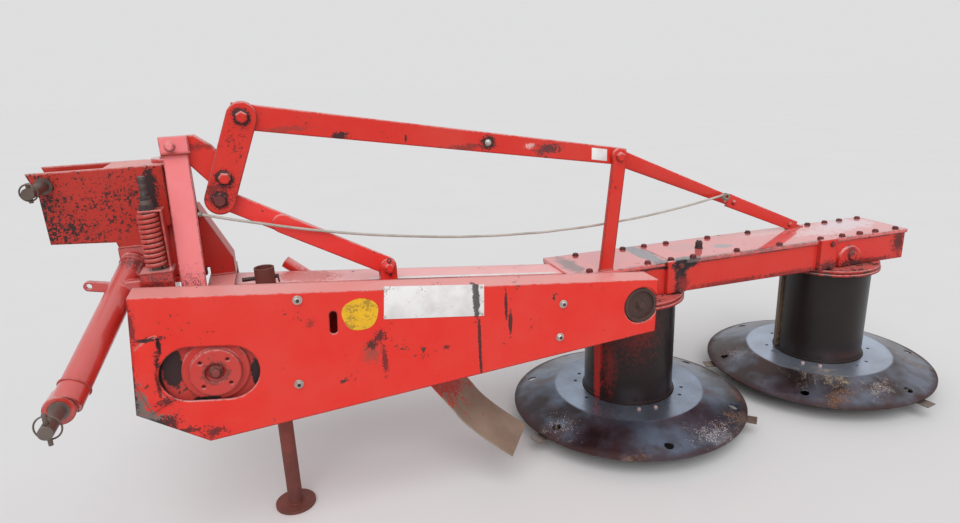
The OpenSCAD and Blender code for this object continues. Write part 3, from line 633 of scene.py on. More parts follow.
@dataclass(frozen=True)
class Twine(Coating):
    """Laid rope fibre, its strands drawn along the piece's own UV map."""

    colour: Colour = (0.56, 0.54, 0.49)
    dirt: Colour = (0.24, 0.21, 0.17)
    turns: float = 140.0
    strands: float = 3.0
    roughness: float = 0.9

    def look(self, bench: MaterialBench) -> Look:
        """Lay the strands and soil the grooves between them.

        Args:
            bench: The material's tree.

        Returns:
            What feeds each input of the shader.
        """
        uv = bench.node("ShaderNodeTexCoord").outputs["UV"]
        parts = bench.node("ShaderNodeSeparateXYZ", {"Vector": uv}).outputs
        lay = bench.plus(bench.times(parts["X"], self.turns), bench.times(parts["Y"], self.strands))
        strand = bench.math("PINGPONG", lay, 0.5)
        cloud = bench.between(bench.noise(bench.spot, 18.0, 4.0), 0.38, 0.7)
        colour = bench.mix(bench.times(cloud, 0.5), self.colour, self.dirt)
        height = bench.plus(bench.times(strand, 2.0), bench.noise(bench.spot, 900.0, 2.0))
        return {"Base Color": bench.mix(bench.between(strand, 0.0, 0.14), self.dirt, colour),
                "Normal": bench.bump(height, 0.6, 0.0008), "Roughness": self.roughness}


@dataclass(frozen=True)
class FloorPaint(Coating):
    """The floor's plain pale paint."""

    colour: Colour = (0.700, 0.700, 0.705)
    second_share: float = 0.95
    roughness: float = 0.9
    specular: float = 0.1

    def look(self, bench: MaterialBench) -> Look:
        """Cloud the paint a little.

        Args:
            bench: The material's tree.

        Returns:
            What feeds each input of the shader.
        """
        second = tuple(part * self.second_share for part in self.colour)
        colour = bench.mix(bench.noise(bench.spot, 1.6, 4.0), self.colour, second)
        return {"Base Color": colour, "Roughness": self.roughness, "Specular IOR Level": self.specular}


# Finishes of this mower

DIRT: Colour = (0.120, 0.060, 0.045)
DUST: Colour = (0.400, 0.320, 0.290)
RUST_DARK: Colour = (0.110, 0.050, 0.030)
RUST_ORANGE: Colour = (0.330, 0.120, 0.045)
WORN_BRIGHT: Colour = (0.420, 0.400, 0.380)
WORN_DARK: Colour = (0.030, 0.018, 0.016)
SOOT: Colour = (0.022, 0.016, 0.017)
GREASE: Colour = (0.010, 0.009, 0.012)
SCUFF: Colour = (0.125, 0.118, 0.142)
BARE_GREEN: Colour = (0.150, 0.145, 0.130)
PALE_PINK: Colour = (0.800, 0.480, 0.460)
SPECK: Colour = (0.620, 0.540, 0.500)
LINKAGE_RED: Colour = (0.640, 0.020, 0.010)
LINKAGE_FADED: Colour = (0.620, 0.060, 0.042)
FACE_Y = -285.0


def marks(*rows: tuple[object, ...], y: float | None = None, deep: float = 0.0) -> tuple[Stain, ...]:
    """Return stains from rows of place, reach and the other fields of a stain.

    Args:
        *rows: One row for each stain. Where y is given, the rows leave it out.
        y: The upright face on which all lie.
        deep: Reach through that face.

    Returns:
        The stains.
    """
    made = []
    for row in rows:
        if y is not None:
            row = (row[0], y, row[1], row[2], deep, row[3], *row[4:])
        made.append(Stain(row[:3], row[3:6], *row[6:]))
    return tuple(made)


DRIPS = marks(
    (-612, 606, 10, 66, SOOT, 0.9, 1.3, 55),
    (-606, 470, 5, 84, SOOT, 0.9, 1.3, 55),
    (-531, 572, 4.5, 42, SOOT, 0.9, 1.3, 55),
    (-520, 523, 5.5, 40, SOOT, 0.9, 1.3, 55),
    y=FACE_Y, deep=40,
)
GUARD_MARKS = (*DRIPS, *marks(
    (-886, 500, 30, 34, (0.26, 0.070, 0.050), 0.75, 2.2, 60, 0.75, 0.3),
    (-885, 521, 14, 12, SOOT, 0.85, 2.6, 70),
    (-863, 541, 15, 16, SOOT, 0.85, 2.6, 70),
    (-856, 470, 7, 40, SOOT, 0.75, 2.6, 70),
    (-697, 483, 10, 5, SOOT, 0.8, 2.4, 90),
    (-1024, 600, 9, 9, (0.20, 0.030, 0.020), 0.7, 3.2, 90),
    (-1418, 452, 18, 50, BARE_GREEN, 0.95, 2.6, 60),
    (-1396, 422, 30, 18, BARE_GREEN, 0.95, 2.6, 60),
    (-1372, 408, 32, 18, SOOT, 0.9, 3, 70),
    (-1340, 380, 44, 7, SOOT, 0.85, 3.2, 90),
    (-1274, 364, 26, 14, SOOT, 0.8, 3.6, 90),
    (-1378, 617, 34, 5, SOOT, 0.95, 2.2, 80),
    (-1357, 600, 5, 22, SOOT, 0.95, 2.2, 80),
    (-1366, 560, 5, 22, SOOT, 0.85, 2.6, 80),
    (-1372, 500, 4, 34, SOOT, 0.75, 2.6, 80),
    (-1360, 462, 20, 10, SOOT, 0.8, 2.8, 80),
    (-1424, 560, 7, 110, SOOT, 0.8, 2.8, 80),
    (-1405, 660, 8, 40, SOOT, 0.7, 3, 80),
    y=FACE_Y, deep=60,
))
COVER_MARKS_AND_SHEEN = marks(
    (50, 10, 562, 34, 130, 14, SCUFF, 0.95, 0.9, 30, 0.34),
    (100, -92, 562, 80, 16, 14, GREASE, 0.97, 2, 40, 0.25),
    (140, -94, 560, 50, 26, 22, GREASE, 0.97, 0.9, 40, 0.2),
    (332, -19, 562, 34, 26, 14, (0.20, 0.17, 0.18), 0.85, 1.6, 40, 0.22),
    (205, 20, 562, 60, 46, 14, (0.50, 0.20, 0.19), 0.6, 2.4, 40, 0.3),
    # The next three pale pink and lilac patches on the cover's top are a painted sheen of the sky, not marks
    # on the paint.
    (600, 60, 562, 130, 34, 14, (0.78, 0.42, 0.42), 0.55, 2, 30, 0.3),
    (760, -10, 562, 110, 40, 14, (0.82, 0.60, 0.62), 0.6, 2.4, 30, 0.25),
    (900, 40, 562, 120, 70, 14, (0.74, 0.60, 0.66), 0.8, 1.8, 30, 0.22),
    (400, -100, 562, 520, 8, 14, (0.10, 0.03, 0.03), 0.7, 3.4, 60, 0.6),
    (-215, 0, 562, 26, 110, 14, SOOT, 0.8, 2.4, 40, 0.4),
)
BEAM_MARKS = marks(
    (134, -106, 552, 58, 40, 24, GREASE, 0.98, 1.2, 50, 0.22),
    (114, -112, 505, 22, 40, 62, GREASE, 0.98, 2, 50, 0.25),
    (100, -112, 452, 16, 40, 30, GREASE, 0.95, 2.4, 60, 0.28),
    (60, -100, 548, 90, 16, 8, GREASE, 0.9, 2.6, 60, 0.3),
    (128, -112, 478, 26, 40, 30, (0.30, 0.02, 0.015), 0.8, 3, 60, 0.4),
    (788, -109, 507, 20, 30, 22, (0.12, 0.03, 0.03), 0.85, 3, 80),
    (790, -109, 470, 44, 30, 14, SOOT, 0.85, 3.2, 70),
    (690, -114, 470, 40, 30, 20, SOOT, 0.8, 3.4, 70),
    (1008, -100, 520, 26, 30, 44, SOOT, 0.85, 3.4, 60),
    (300, -100, 464, 140, 30, 8, SOOT, 0.6, 3.6, 70),
    (560, -100, 464, 160, 30, 8, SOOT, 0.6, 3.6, 70),
    (860, -100, 464, 140, 30, 10, SOOT, 0.7, 3.4, 70),
    (-700, -54, 600, 300, 12, 12, SOOT, 0.6, 3.4, 60),
    (-1010, 0, 632, 90, 60, 20, (0.62, 0.10, 0.08), 0.7, 2, 30, 0.4),
)
BRACKET_MARKS = marks(
    (-1350, -68, 905, 16, 30, 70, SOOT, 0.97, 1.8, 50),
    (-1410, -108, 915, 60, 30, 46, SOOT, 0.95, 5, 60),
    (-1480, -110, 876, 130, 30, 80, SOOT, 0.9, 5, 38),
    (-1585, -90, 890, 34, 30, 100, SOOT, 0.95, 4, 60),
    (-1560, -96, 826, 70, 30, 40, SOOT, 0.95, 4.4, 60),
)
SLEEVE_MARKS = marks(
    (-1278, -60, 850, 20, 80, 130, SOOT, 0.93, 1.6, 50),
    (-1352, -200, 716, 50, 20, 26, SOOT, 0.85, 4.4, 110),
    (-1414, -92, 745, 40, 20, 26, SOOT, 0.7, 4, 90),
    (-1352, -150, 742, 44, 40, 6, PALE_PINK, 0.8, 1.6, 60, 0.4),
)
MAST_MARKS = marks(
    (-1280, -192, 690, 46, 30, 34, SOOT, 0.9, 4.6, 110),
)
LEVER_MARKS = marks(
    (-1121, -96, 1076, 23, 12, 23, SOOT, 0.9, 1, 60),
    (-1179, -96, 934, 23, 12, 23, SOOT, 0.9, 1, 60),
    (-1197, -96, 881, 22, 12, 22, SOOT, 0.9, 1.6, 60),
    (-1142, -112, 1020, 20, 12, 40, SOOT, 0.8, 4.4, 90),
    (-1222, -85, 1012, 34, 20, 8, SOOT, 0.5, 3.6, 90),
    (-1205, -96, 905, 40, 12, 22, SOOT, 0.7, 3.8, 80),
)
BAR_MARKS_AND_SHADE = marks(
    (-892, 1016, 22, 10, SOOT, 0.95, 2, 60),
    (-725, 996, 4, 10, SOOT, 0.9, 1.2, 60),
    (-499, 970, 22, 22, SOOT, 0.95, 1.4, 60),
    (-377, 952, 14, 9, PALE_PINK, 0.7, 2.6, 60),
    (-325, 940, 40, 14, (0.05, 0.03, 0.035), 0.85, 2.6, 60),
    (-560, 962, 60, 7, (0.14, 0.03, 0.025), 0.7, 3.4, 60),
    # This thin dark-red line along the bar's underside is painted shadow.
    (-1020, 1040, 60, 7, (0.30, 0.04, 0.03), 0.7, 3, 60),
    y=-85, deep=20,
)
DRUM_INNER_MARKS_AND_SHEEN = marks(
    (-146, -53, 270, 18, 20, 175, (0.42, 0.018, 0.012), 0.92, 1.6, 40, 0.5),
    # The next two soft dark-red patches fade from their middle outwards and are a painted sheen on the black
    # drum.
    (-50, -130, 372, 90, 70, 120, (0.150, 0.011, 0.008), 0.85, 2.6, 80, 0.5, 0.1),
    (-118, -86, 250, 20, 40, 120, (0.220, 0.013, 0.010), 0.75, 2.6, 70, 0.5, 0.1),
)
DRUM_OUTER_MARKS = marks(
    (663, 59, 270, 20, 26, 175, (0.130, 0.085, 0.045), 0.9, 1.6, 40, 0.6),
    (800, -150, 134, 160, 60, 24, (0.060, 0.022, 0.019), 0.6, 2.4, 70, 0.7, 0.2),
)
NEAR_SPECKS = marks(
    (-305, -120, 80, 80, 90, 60, SPECK, 0.9, 1.6, 16, 0.8, 0.2),
    (120, -325, 80, 150, 80, 60, SPECK, 0.95, 1.6, 16, 0.8, 0.2),
    (240, -268, 76, 100, 80, 60, (0.34, 0.18, 0.10), 0.95, 1.6, 16, 0.8, 0.2),
    (-186, -345, 66, 130, 34, 30, (0.42, 0.24, 0.13), 1, 1.6, 16, 0.8, 0.2),
    (335, -150, 66, 50, 110, 40, RUST_ORANGE, 0.9, 1.6, 16, 0.8, 0.2),
)
FAR_SPECKS = marks(
    (661, -200, 90, 110, 100, 60, (0.62, 0.48, 0.30), 1.05, 1.6, 14, 0.8, 0.2),
    (520, 90, 80, 70, 110, 60, SPECK, 0.85, 1.6, 12, 0.8, 0.2),
    (600, -130, 90, 70, 100, 60, SPECK, 0.85, 1.6, 12, 0.8, 0.2),
    (770, -292, 80, 110, 80, 60, SPECK, 0.95, 1.6, 12, 0.8, 0.2),
    (622, -290, 70, 150, 60, 60, (0.36, 0.17, 0.08), 1, 1.6, 14, 0.8, 0.2),
    (1040, -190, 80, 90, 100, 60, SPECK, 0.7, 1.6, 12, 0.8, 0.2),
)
SWATH_MARKS = marks(
    (-690, -90, 385, 210, 210, 125, (0.480, 0.034, 0.022), 0.97, 1.8, 30, 0.55),
)
PULLEY_SHADE_AND_MARKS = marks(
    # The next three near-black patches at the pulley's rim are painted shade in the dark gaps of the recessed
    # pulley, not soot.
    (-1341, -266, 540, 26, 16, 60, SOOT, 0.97, 0.5, 30, 0.6),
    (-1275, -266, 446, 34, 16, 10, SOOT, 0.97, 0.5, 30, 0.6),
    (-1160, -266, 490, 14, 16, 38, SOOT, 0.97, 0.5, 30, 0.6),
    (-1248, -291, 515, 30, 8, 30, (0.16, 0.045, 0.035), 0.8, 1, 50, 0.6),
)


class Finish(Enum):
    """Every finish on the mower. A material has its member's name in small letters."""

    GUARD_PAINT = Paint(haze=0.85, edges=0.75, dirt=0.10, stains=GUARD_MARKS)
    LINKAGE_PAINT = Paint(LINKAGE_RED, LINKAGE_FADED, flakes=0.34, flake_scale=14.0, dirt=0.05, dust=0.05)
    STRUT_PAINT = Paint((0.820, 0.032, 0.026), (0.800, 0.070, 0.056), flakes=0.40, flake_scale=16.0,
                        dirt=0.05, dust=0.05)
    LEVER_PAINT = Paint(LINKAGE_RED, LINKAGE_FADED, haze=0.9, flake_scale=16.0, edges=1.0, dirt=0.05,
                        stains=LEVER_MARKS)
    BAR_PAINT = Paint(LINKAGE_RED, LINKAGE_FADED, haze=0.9, flakes=0.28, edges=0.7, dirt=0.05,
                      stains=BAR_MARKS_AND_SHADE)
    MAST_PAINT = Paint((0.820, 0.185, 0.190), (0.850, 0.280, 0.295), haze=0.9, fade=0.8, flakes=0.30,
                       flake_scale=16.0, edges=0.6, dirt=0.1, stains=MAST_MARKS)
    FRAME_PAINT = Paint((0.520, 0.020, 0.012), (0.540, 0.050, 0.040), haze=0.22,
                        haze_and_sheen_colour=(0.640, 0.240, 0.240), edges=0.8, roughness=0.26, coat=1.0,
                        coat_roughness=0.16, coat_ior=1.8, stains=SLEEVE_MARKS)
    HEAD_PAINT = Paint((0.500, 0.018, 0.011), (0.440, 0.045, 0.034), SOOT, flakes=0.40, stains=SLEEVE_MARKS)
    BRACKET_PAINT = Paint((0.480, 0.022, 0.012), (0.440, 0.050, 0.036), SOOT, flakes=0.42, edges=0.9,
                          stains=BRACKET_MARKS)
    BEAM_PAINT = Paint((0.640, 0.024, 0.014), (0.620, 0.055, 0.040), haze=0.95,
                       haze_and_sheen_colour=(0.900, 0.480, 0.480), flakes=0.34, edges=0.8, stains=BEAM_MARKS)
    COVER_PAINT = Paint(faded=(0.700, 0.140, 0.125), haze=0.50, haze_and_sheen_colour=(0.800, 0.230, 0.240), fade=0.8,
                        flake_scale=12.0, edges=0.9, dust=0.06, roughness=0.12, specular=0.5, coat=1.0,
                        coat_roughness=0.04, coat_ior=1.9, stains=COVER_MARKS_AND_SHEEN)
    FLANGE_PAINT = Paint((0.440, 0.016, 0.010), (0.330, 0.034, 0.026), SOOT, haze=0.25, flakes=0.72,
                         edges=0.9, dirt=0.6)
    SPRING_PAINT = Paint((0.480, 0.030, 0.020), (0.420, 0.060, 0.050), haze=0.3, flakes=0.28,
                         flake_scale=24.0, edges=0.7)
    PULLEY_PAINT = Paint((0.560, 0.042, 0.034), (0.460, 0.080, 0.070), haze=0.2, fade=0.8, flakes=0.34,
                         flake_scale=16.0, edges=0.6, dirt=0.35, roughness=0.6, coat=0.0,
                         stains=PULLEY_SHADE_AND_MARKS)
    WELD_PAINT = Paint((0.420, 0.030, 0.022), (0.360, 0.050, 0.040), haze=0.4, flakes=0.3, flake_scale=24.0,
                       edges=0.2)
    DRUM_COAT = Paint((0.009, 0.006, 0.006), (0.026, 0.010, 0.009), (0.040, 0.020, 0.015), haze=0.0,
                      flakes=0.24, flake_scale=11.0, edges=0.2, edge_wear_and_highlight=WORN_DARK, dust=0.0, roughness=0.30,
                      specular=0.26, coat=0.15, stains=DRUM_INNER_MARKS_AND_SHEEN)
    DRUM_COAT_OUTER = replace(DRUM_COAT, colour=(0.012, 0.008, 0.008), faded=(0.026, 0.013, 0.012), dirt=0.3,
                              roughness=0.34, stains=DRUM_OUTER_MARKS)
    DISC_STEEL_INNER = DiscSteel(0.0, (0.360, 0.440, 0.560), (0.250, 0.285, 0.360), specks=NEAR_SPECKS)
    DISC_STEEL_OUTER = DiscSteel(800.0, (0.490, 0.570, 0.700), (0.380, 0.420, 0.500),
                                 cone=(0.066, 0.052, 0.052), cone_blue=(0.170, 0.188, 0.240), roughness=0.2,
                                 specks=FAR_SPECKS)
    DISH_STEEL = Metal((0.18, 0.15, 0.14), (0.10, 0.065, 0.050), rusted=0.4, roughness=0.45)
    KNIFE_STEEL = Metal((0.30, 0.27, 0.25), (0.18, 0.12, 0.09), rusted=0.35, rust_scale=30.0)
    PIN_STEEL = Metal((0.22, 0.18, 0.16), (0.11, 0.07, 0.055), rusted=0.35, rust_scale=30.0, metallic=0.7,
                      roughness=0.42)
    LEG_IRON = Metal((0.250, 0.062, 0.048), (0.120, 0.038, 0.030), (0.15, 0.07, 0.04), rusted=0.4,
                     rust_scale=16.0, metallic=0.2, roughness=0.62)
    SWATH_STEEL = Metal((0.350, 0.265, 0.200), (0.230, 0.160, 0.115), (0.27, 0.15, 0.08), rusted=0.35,
                        rust_scale=12.0, metallic=0.2, roughness=0.6, stains=SWATH_MARKS)
    CUP_IRON = Metal((0.085, 0.042, 0.034), (0.045, 0.026, 0.022), (0.150, 0.060, 0.040), rusted=0.4,
                     rust_scale=22.0, metallic=0.2, roughness=0.6)
    ZINC = Metal((0.62, 0.60, 0.56), (0.44, 0.40, 0.35), rusted=0.1, rust_scale=60.0, metallic=0.9,
                 roughness=0.3)
    PINK_BOLT = Metal((0.56, 0.40, 0.38), (0.40, 0.30, 0.29), rusted=0.15, rust_scale=60.0, metallic=0.5,
                      roughness=0.4)
    DARK_BOLT = Metal((0.085, 0.060, 0.062), (0.045, 0.030, 0.030), rust_scale=60.0, metallic=0.5,
                      roughness=0.5)
    RED_BOLT = Metal((0.200, 0.028, 0.026), (0.070, 0.024, 0.024), rusted=0.2, rust_scale=60.0, metallic=0.2,
                     roughness=0.5)
    BELT_RUBBER = Rubber()
    ROPE_FIBRE = Twine()
    WHITE_FILM = Film((0.80, 0.79, 0.78), (0.34, 0.26, 0.25), 0.40, DRIPS)
    YELLOW_FILM = Film((0.82, 0.45, 0.004), (0.34, 0.20, 0.02), 0.66)
    PALE_FLOOR = FloorPaint()


# Mesh making


def facing(at: Vector, axis: Vector) -> Matrix:
    """Return the matrix that takes +Z at the origin to an axis at a point."""
    return Matrix.Translation(at) @ axis.to_track_quat("Z", "Y").to_matrix().to_4x4()


def link(name: str, data: bpy.types.ID) -> bpy.types.Object:
    """Put a mesh, a camera or a lamp in the scene.

    Args:
        name: Name of the object.
        data: What it shows.

    Returns:
        The object.
    """
    made = bpy.data.objects.new(name, data)
    bpy.context.scene.collection.objects.link(made)
    return made


def chamfer_edges(bm: Mesh, edges: Iterable[bmesh.types.BMEdge], width: float, rounds: int) -> None:
    """Chamfer or round edges, by a width in millimetres and in so many steps."""
    bmesh.ops.bevel(bm, geom=list(edges), offset=width * MM, offset_type="OFFSET", segments=rounds,
                    profile=0.5, affect="EDGES", material=-1)


def add_disc(bm: Mesh, radius: float, low: float, high: float, sides: int, chamfer: float,
             rounds: int = 1) -> None:
    """Add an upright prism with a chamfered or rounded top, in millimetres.

    Args:
        bm: The mesh.
        radius: Radius of its corners.
        low: Height of its foot.
        high: Height of its top.
        sides: Sides of the prism.
        chamfer: Width of the chamfer.
        rounds: Steps of the chamfer.
    """
    at = Matrix.Translation((0.0, 0.0, (low + high) / 2 * MM))
    made = bmesh.ops.create_cone(bm, cap_ends=True, cap_tris=False, segments=sides, radius1=radius * MM,
                                 radius2=radius * MM, depth=(high - low) * MM, matrix=at)
    edges = {edge for vert in made["verts"] for edge in vert.link_edges}
    rim = [edge for edge in edges if all(vert.co.z > (high - 0.01) * MM for vert in edge.verts)]
    chamfer_edges(bm, rim, chamfer, rounds)


def line_length(line: Sequence[Vector]) -> float:
    """Return the length of a line through points."""
    return sum((two - one).length for one, two in zip(line, line[1:]))


def smooth_line(route: Sequence[Vector], steps: int) -> list[Vector]:
    """Return close points on the smooth curve through a route.

    Args:
        route: The points that the curve passes.
        steps: Steps between each two of them.

    Returns:
        The close points.
    """
    last = len(route) - 1
    made: list[Vector] = []
    for index in range(last):
        a, b = route[max(index - 1, 0)], route[index]
        c, d = route[index + 1], route[min(index + 2, last)]
        for step in range(steps):
            t = step / steps
            made.append(0.5 * (2 * b + t * (c - a) + t**2 * (2 * a - 5 * b + 4 * c - d)
                               + t**3 * (3 * b - a - 3 * c + d)))
    return [*made, route[last]]


def circle_line(centre: Vector, axis: Vector, radius: float, steps: int) -> list[Vector]:
    """Return the points of a circle.

    Args:
        centre: Its centre.
        axis: Its axis.
        radius: Its radius in metres.
        steps: Number of points.

    Returns:
        The points in order.
    """
    turn = facing(centre, axis)
    angles = (math.tau * step / steps for step in range(steps))
    return [turn @ Vector((radius * math.cos(angle), radius * math.sin(angle), 0.0)) for angle in angles]


def ring_edges(ring: Ring) -> list[bmesh.types.BMEdge]:
    """Return the edges that join the vertices of one ring."""
    inside = set(ring)
    return list({edge for vert in ring for edge in vert.link_edges if edge.other_vert(vert) in inside})


def sweep_tube(bm: Mesh, line: Sequence[Vector], radii: Sequence[float], sides: int,
               closed: bool = False) -> list[Ring]:
    """Sweep a round tube along a line.

    Args:
        bm: The mesh.
        line: The line's points.
        radii: The tube's radius at each point, in metres.
        sides: Sides of the tube.
        closed: Whether the line's end joins its start.

    Returns:
        The rings of vertices in order.
    """
    last = len(line) - 1
    rings: list[Ring] = []
    side = None
    for index, point in enumerate(line):
        ahead = line[(index + 1) % len(line) if closed else min(index + 1, last)]
        behind = line[index - 1 if closed else max(index - 1, 0)]
        run = (ahead - behind).normalized()
        side = run.orthogonal() if side is None else side
        side = (side - run * side.dot(run)).normalized()
        turn = Matrix((side, run.cross(side), run)).transposed().to_4x4()
        made = bmesh.ops.create_circle(bm, cap_ends=False, segments=sides, radius=radii[index],
                                       matrix=Matrix.Translation(point) @ turn)
        rings.append(made["verts"])
    for one, two in zip(rings, rings[1:] + rings[:1] if closed else rings[1:]):
        bmesh.ops.bridge_loops(bm, edges=ring_edges(one) + ring_edges(two))
    if not closed:
        bm.faces.new(rings[0])
        bm.faces.new(rings[-1])
    return rings


def wrap_uv(bm: Mesh, rings: Sequence[Ring], sides: int) -> None:
    """Give a tube a UV map: U along it and V round it.

    Args:
        bm: The tube's mesh.
        rings: Its rings of vertices in order.
        sides: Vertices in a ring.
    """
    along = {vert: (number, side) for number, ring in enumerate(rings) for side, vert in enumerate(ring)}
    layer = bm.loops.layers.uv.new("UVMap")
    last = len(rings) - 1
    for face in bm.faces:
        wraps = any(along[vert][1] == sides - 1 for vert in face.verts)
        for loop in face.loops:
            number, side = along[loop.vert]
            turn = sides if wraps and side == 0 else side
            loop[layer].uv = (number / last, turn / sides)


class Workshop:
    """Makes each finish once, and turns meshes into finished pieces that ride on the frame's bodies."""

    def __init__(self) -> None:
        """Make the effects that the finishes share."""
        self.effects = Effects()
        self.made: dict[Finish, bpy.types.Material] = {}

    def coat(self, piece: bpy.types.Object, finish: Finish) -> None:
        """Replace a piece's materials by one finish, which is made when it is first asked for.

        Args:
            piece: The piece.
            finish: The finish.
        """
        name = finish.name.lower()
        if finish not in self.made:
            self.made[finish] = finish.value.material(name, self.effects)
        piece.data.materials.clear()
        piece.data.materials.append(self.made[finish])
        log.info("%s has %s", piece.name, name)

    def piece(self, name: str, bm: Mesh, finish: Finish, body: str, slot: str,
              sharp: float = 35.0) -> bpy.types.Object:
        """Finish a mesh as a piece and let it ride.

        Args:
            name: Name of the piece.
            bm: Its mesh, which is freed.
            finish: Its finish.
            body: The body that it moves with, or "" for none yet.
            slot: The record's material slot; not used.
            sharp: Edges that turn more than this many degrees stay sharp.

        Returns:
            The piece.
        """
        bmesh.ops.recalc_face_normals(bm, faces=bm.faces)
        data = bpy.data.meshes.new(name)
        bm.to_mesh(data)
        bm.free()
        data.polygons.foreach_set("use_smooth", [True] * len(data.polygons))
        data.set_sharp_from_angle(angle=math.radians(sharp))
        made = link(name, data)
        self.coat(made, finish)
        if body:
            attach(made, body)
        log.info("%s rides on %s with %d faces", name, body or "two bodies", len(data.polygons))
        return made


@dataclass(frozen=True)
class Part:
    """A small piece that rides on one body."""

    name: str
    finish: Finish
    body: str = field(default="boom", kw_only=True)
    slot: str = field(default="pin_steel", kw_only=True)
    sharp: ClassVar[float] = 35.0

    def mesh(self) -> Mesh:
        """Return the piece's mesh."""
        raise NotImplementedError

    def build(self, workshop: Workshop) -> bpy.types.Object:
        """Return the finished piece."""
        return workshop.piece(self.name, self.mesh(), self.finish, self.body, self.slot, self.sharp)


@dataclass(frozen=True)
class Sheet(Part):
    """A flat sheet from its outline, in millimetres."""

    outline: Sequence[Place]
    normal: Vector
    thickness: float
    chamfer: float = 0.0

    def mesh(self) -> Mesh:
        """Make the outline thick along the normal and round its outer rim.

        Returns:
            The mesh.
        """
        bm = bmesh.new()
        face = bm.faces.new([bm.verts.new(place(*corner)) for corner in self.outline])
        made = bmesh.ops.extrude_face_region(bm, geom=[face])["geom"]
        moved = [item for item in made if isinstance(item, bmesh.types.BMVert)]
        bmesh.ops.translate(bm, vec=self.normal * self.thickness * MM, verts=moved)
        if self.chamfer:
            chamfer_edges(bm, ring_edges(moved), self.chamfer, 2)
        return bm


class Solid(Enum):
    """Kinds of small hardware that are made as one closed mesh."""

    HEX = "hex"
    CAP_NUT = "cap_nut"
    DOME = "dome"


@dataclass(frozen=True)
class Fastener:
    """A screw head, nut, dome or washer, in millimetres."""

    across: float
    height: float
    washer_r: float = 0.0
    washer_t: float = 0.0
    stub_r: float = 0.0
    stub_l: float = 0.0
    kind: Solid = Solid.HEX
    seat: float = 0.3

    def mesh(self) -> Mesh:
        """Stand the fastener on z = 0, pointing along +Z.

        Returns:
            The mesh.
        """
        bm = bmesh.new()
        foot, top = self.washer_t, self.washer_t + self.height
        if self.washer_t:
            add_disc(bm, self.washer_r, 0.0, foot, 24, 0.5)
        if self.kind is Solid.DOME:
            add_disc(bm, self.across / 2, foot, top, 28, min(self.height * 0.6, 3.0), 3)
        else:
            add_disc(bm, self.across / math.sqrt(3), foot, top, 6, 1.4)
        if self.kind is Solid.CAP_NUT:
            add_disc(bm, self.across * 0.42, top, top + self.across * 0.3, 16, 3.0, 3)
        elif self.stub_l:
            add_disc(bm, self.stub_r, top, top + self.stub_l, 14, 1.0)
        return bm


def dome(across: float, height: float) -> Fastener:
    """Return a round head or a plain washer."""
    return Fastener(across, height, kind=Solid.DOME)


@dataclass(frozen=True)
class Bolting(Part):
    """Equal fasteners that point one way."""

    fastener: Fastener
    axis: Vector
    spots: Line
    turn: ClassVar[float] = 0.35

    def mesh(self) -> Mesh:
        """Copy the fastener to each spot, each turned a little further than the one before.

        Returns:
            The joined mesh.
        """
        pattern = self.fastener.mesh()
        single = bpy.data.meshes.new("pattern")
        pattern.to_mesh(single)
        pattern.free()
        whole = bmesh.new()
        lift = Matrix.Translation((0.0, 0.0, self.fastener.seat * MM))
        for count, spot in enumerate(self.spots):
            part = single.copy()
            turn = Matrix.Rotation(self.turn * count, 4, "Z")
            part.transform(facing(place(*spot), self.axis) @ lift @ turn)
            whole.from_mesh(part)
            bpy.data.meshes.remove(part)
        bpy.data.meshes.remove(single)
        return whole


@dataclass(frozen=True)
class Wirework(Part):
    """Round wire, thread or weld bead along lines and rings, in millimetres."""

    radius: float
    runs: tuple[Line, ...] = ()
    rings: tuple[tuple[Place, Place, float], ...] = ()
    ripple: float = 0.0
    step: float = 1.6
    sides: int = 8
    sharp: ClassVar[float] = 60.0

    def swell(self, count: int) -> list[float]:
        """Return the radius at each of a run's points, in metres."""
        waves = (math.sin(2.1 * index) + 0.5 * math.sin(0.37 * index) for index in range(count))
        return [self.radius * MM * (1.0 + self.ripple * wave) for wave in waves]

    def mesh(self) -> Mesh:
        """Sweep the wire along each line and each ring.

        Returns:
            The mesh.
        """
        bm = bmesh.new()
        for run in self.runs:
            route = [place(*point) for point in run]
            steps = round(line_length(route) / (len(route) - 1) / (self.step * MM))
            line = smooth_line(route, max(2, steps))
            sweep_tube(bm, line, self.swell(len(line)), self.sides)
        for centre, axis, radius in self.rings:
            count = max(24, round(math.tau * radius / self.step))
            line = circle_line(place(*centre), Vector(axis), radius * MM, count)
            sweep_tube(bm, line, self.swell(count), self.sides, closed=True)
        return bm


# Sub-assemblies, in millimetres from the inner drum's axis


@dataclass
class Assembly:
    """Gives its nodes their finishes and adds small pieces."""

    coats: ClassVar[Mapping[Finish, str]] = {}

    def parts(self) -> Iterable[Part]:
        """Return the small pieces."""
        return ()

    def build(self, workshop: Workshop) -> None:
        """Coat the nodes and make the small pieces.

        Args:
            workshop: Where pieces are finished.
        """
        for finish, nodes in self.coats.items():
            for node in nodes.split():
                workshop.coat(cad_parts[node], finish)
        for part in self.parts():
            part.build(workshop)


@dataclass
class Viewpoint(Assembly):
    """The camera at the place from which the mower is seen."""

    at: Place = (-1066.2, -1811.0, 1176.4)
    yaw: float = 17.093
    pitch: float = 16.629
    roll: float = -2.307
    lens: float = 24.83
    sensor: float = 36.0

    def build(self, workshop: Workshop) -> None:
        """Make the camera and look through it.

        Args:
            workshop: Not used by the camera.
        """
        yaw, pitch, roll = (math.radians(angle) for angle in (self.yaw, self.pitch, self.roll))
        ahead = Vector((math.sin(yaw) * math.cos(pitch), math.cos(yaw) * math.cos(pitch), -math.sin(pitch)))
        level = Vector((math.cos(yaw), -math.sin(yaw), 0.0))
        upright = level.cross(ahead)
        right = math.cos(roll) * level + math.sin(roll) * upright
        up = -math.sin(roll) * level + math.cos(roll) * upright
        data = bpy.data.cameras.new("viewpoint")
        data.lens = self.lens
        data.sensor_width = self.sensor
        camera = link("viewpoint", data)
        turn = Matrix((right, up, -ahead)).transposed().to_4x4()
        camera.matrix_world = Matrix.Translation(place(*self.at)) @ turn
        bpy.context.scene.camera = camera


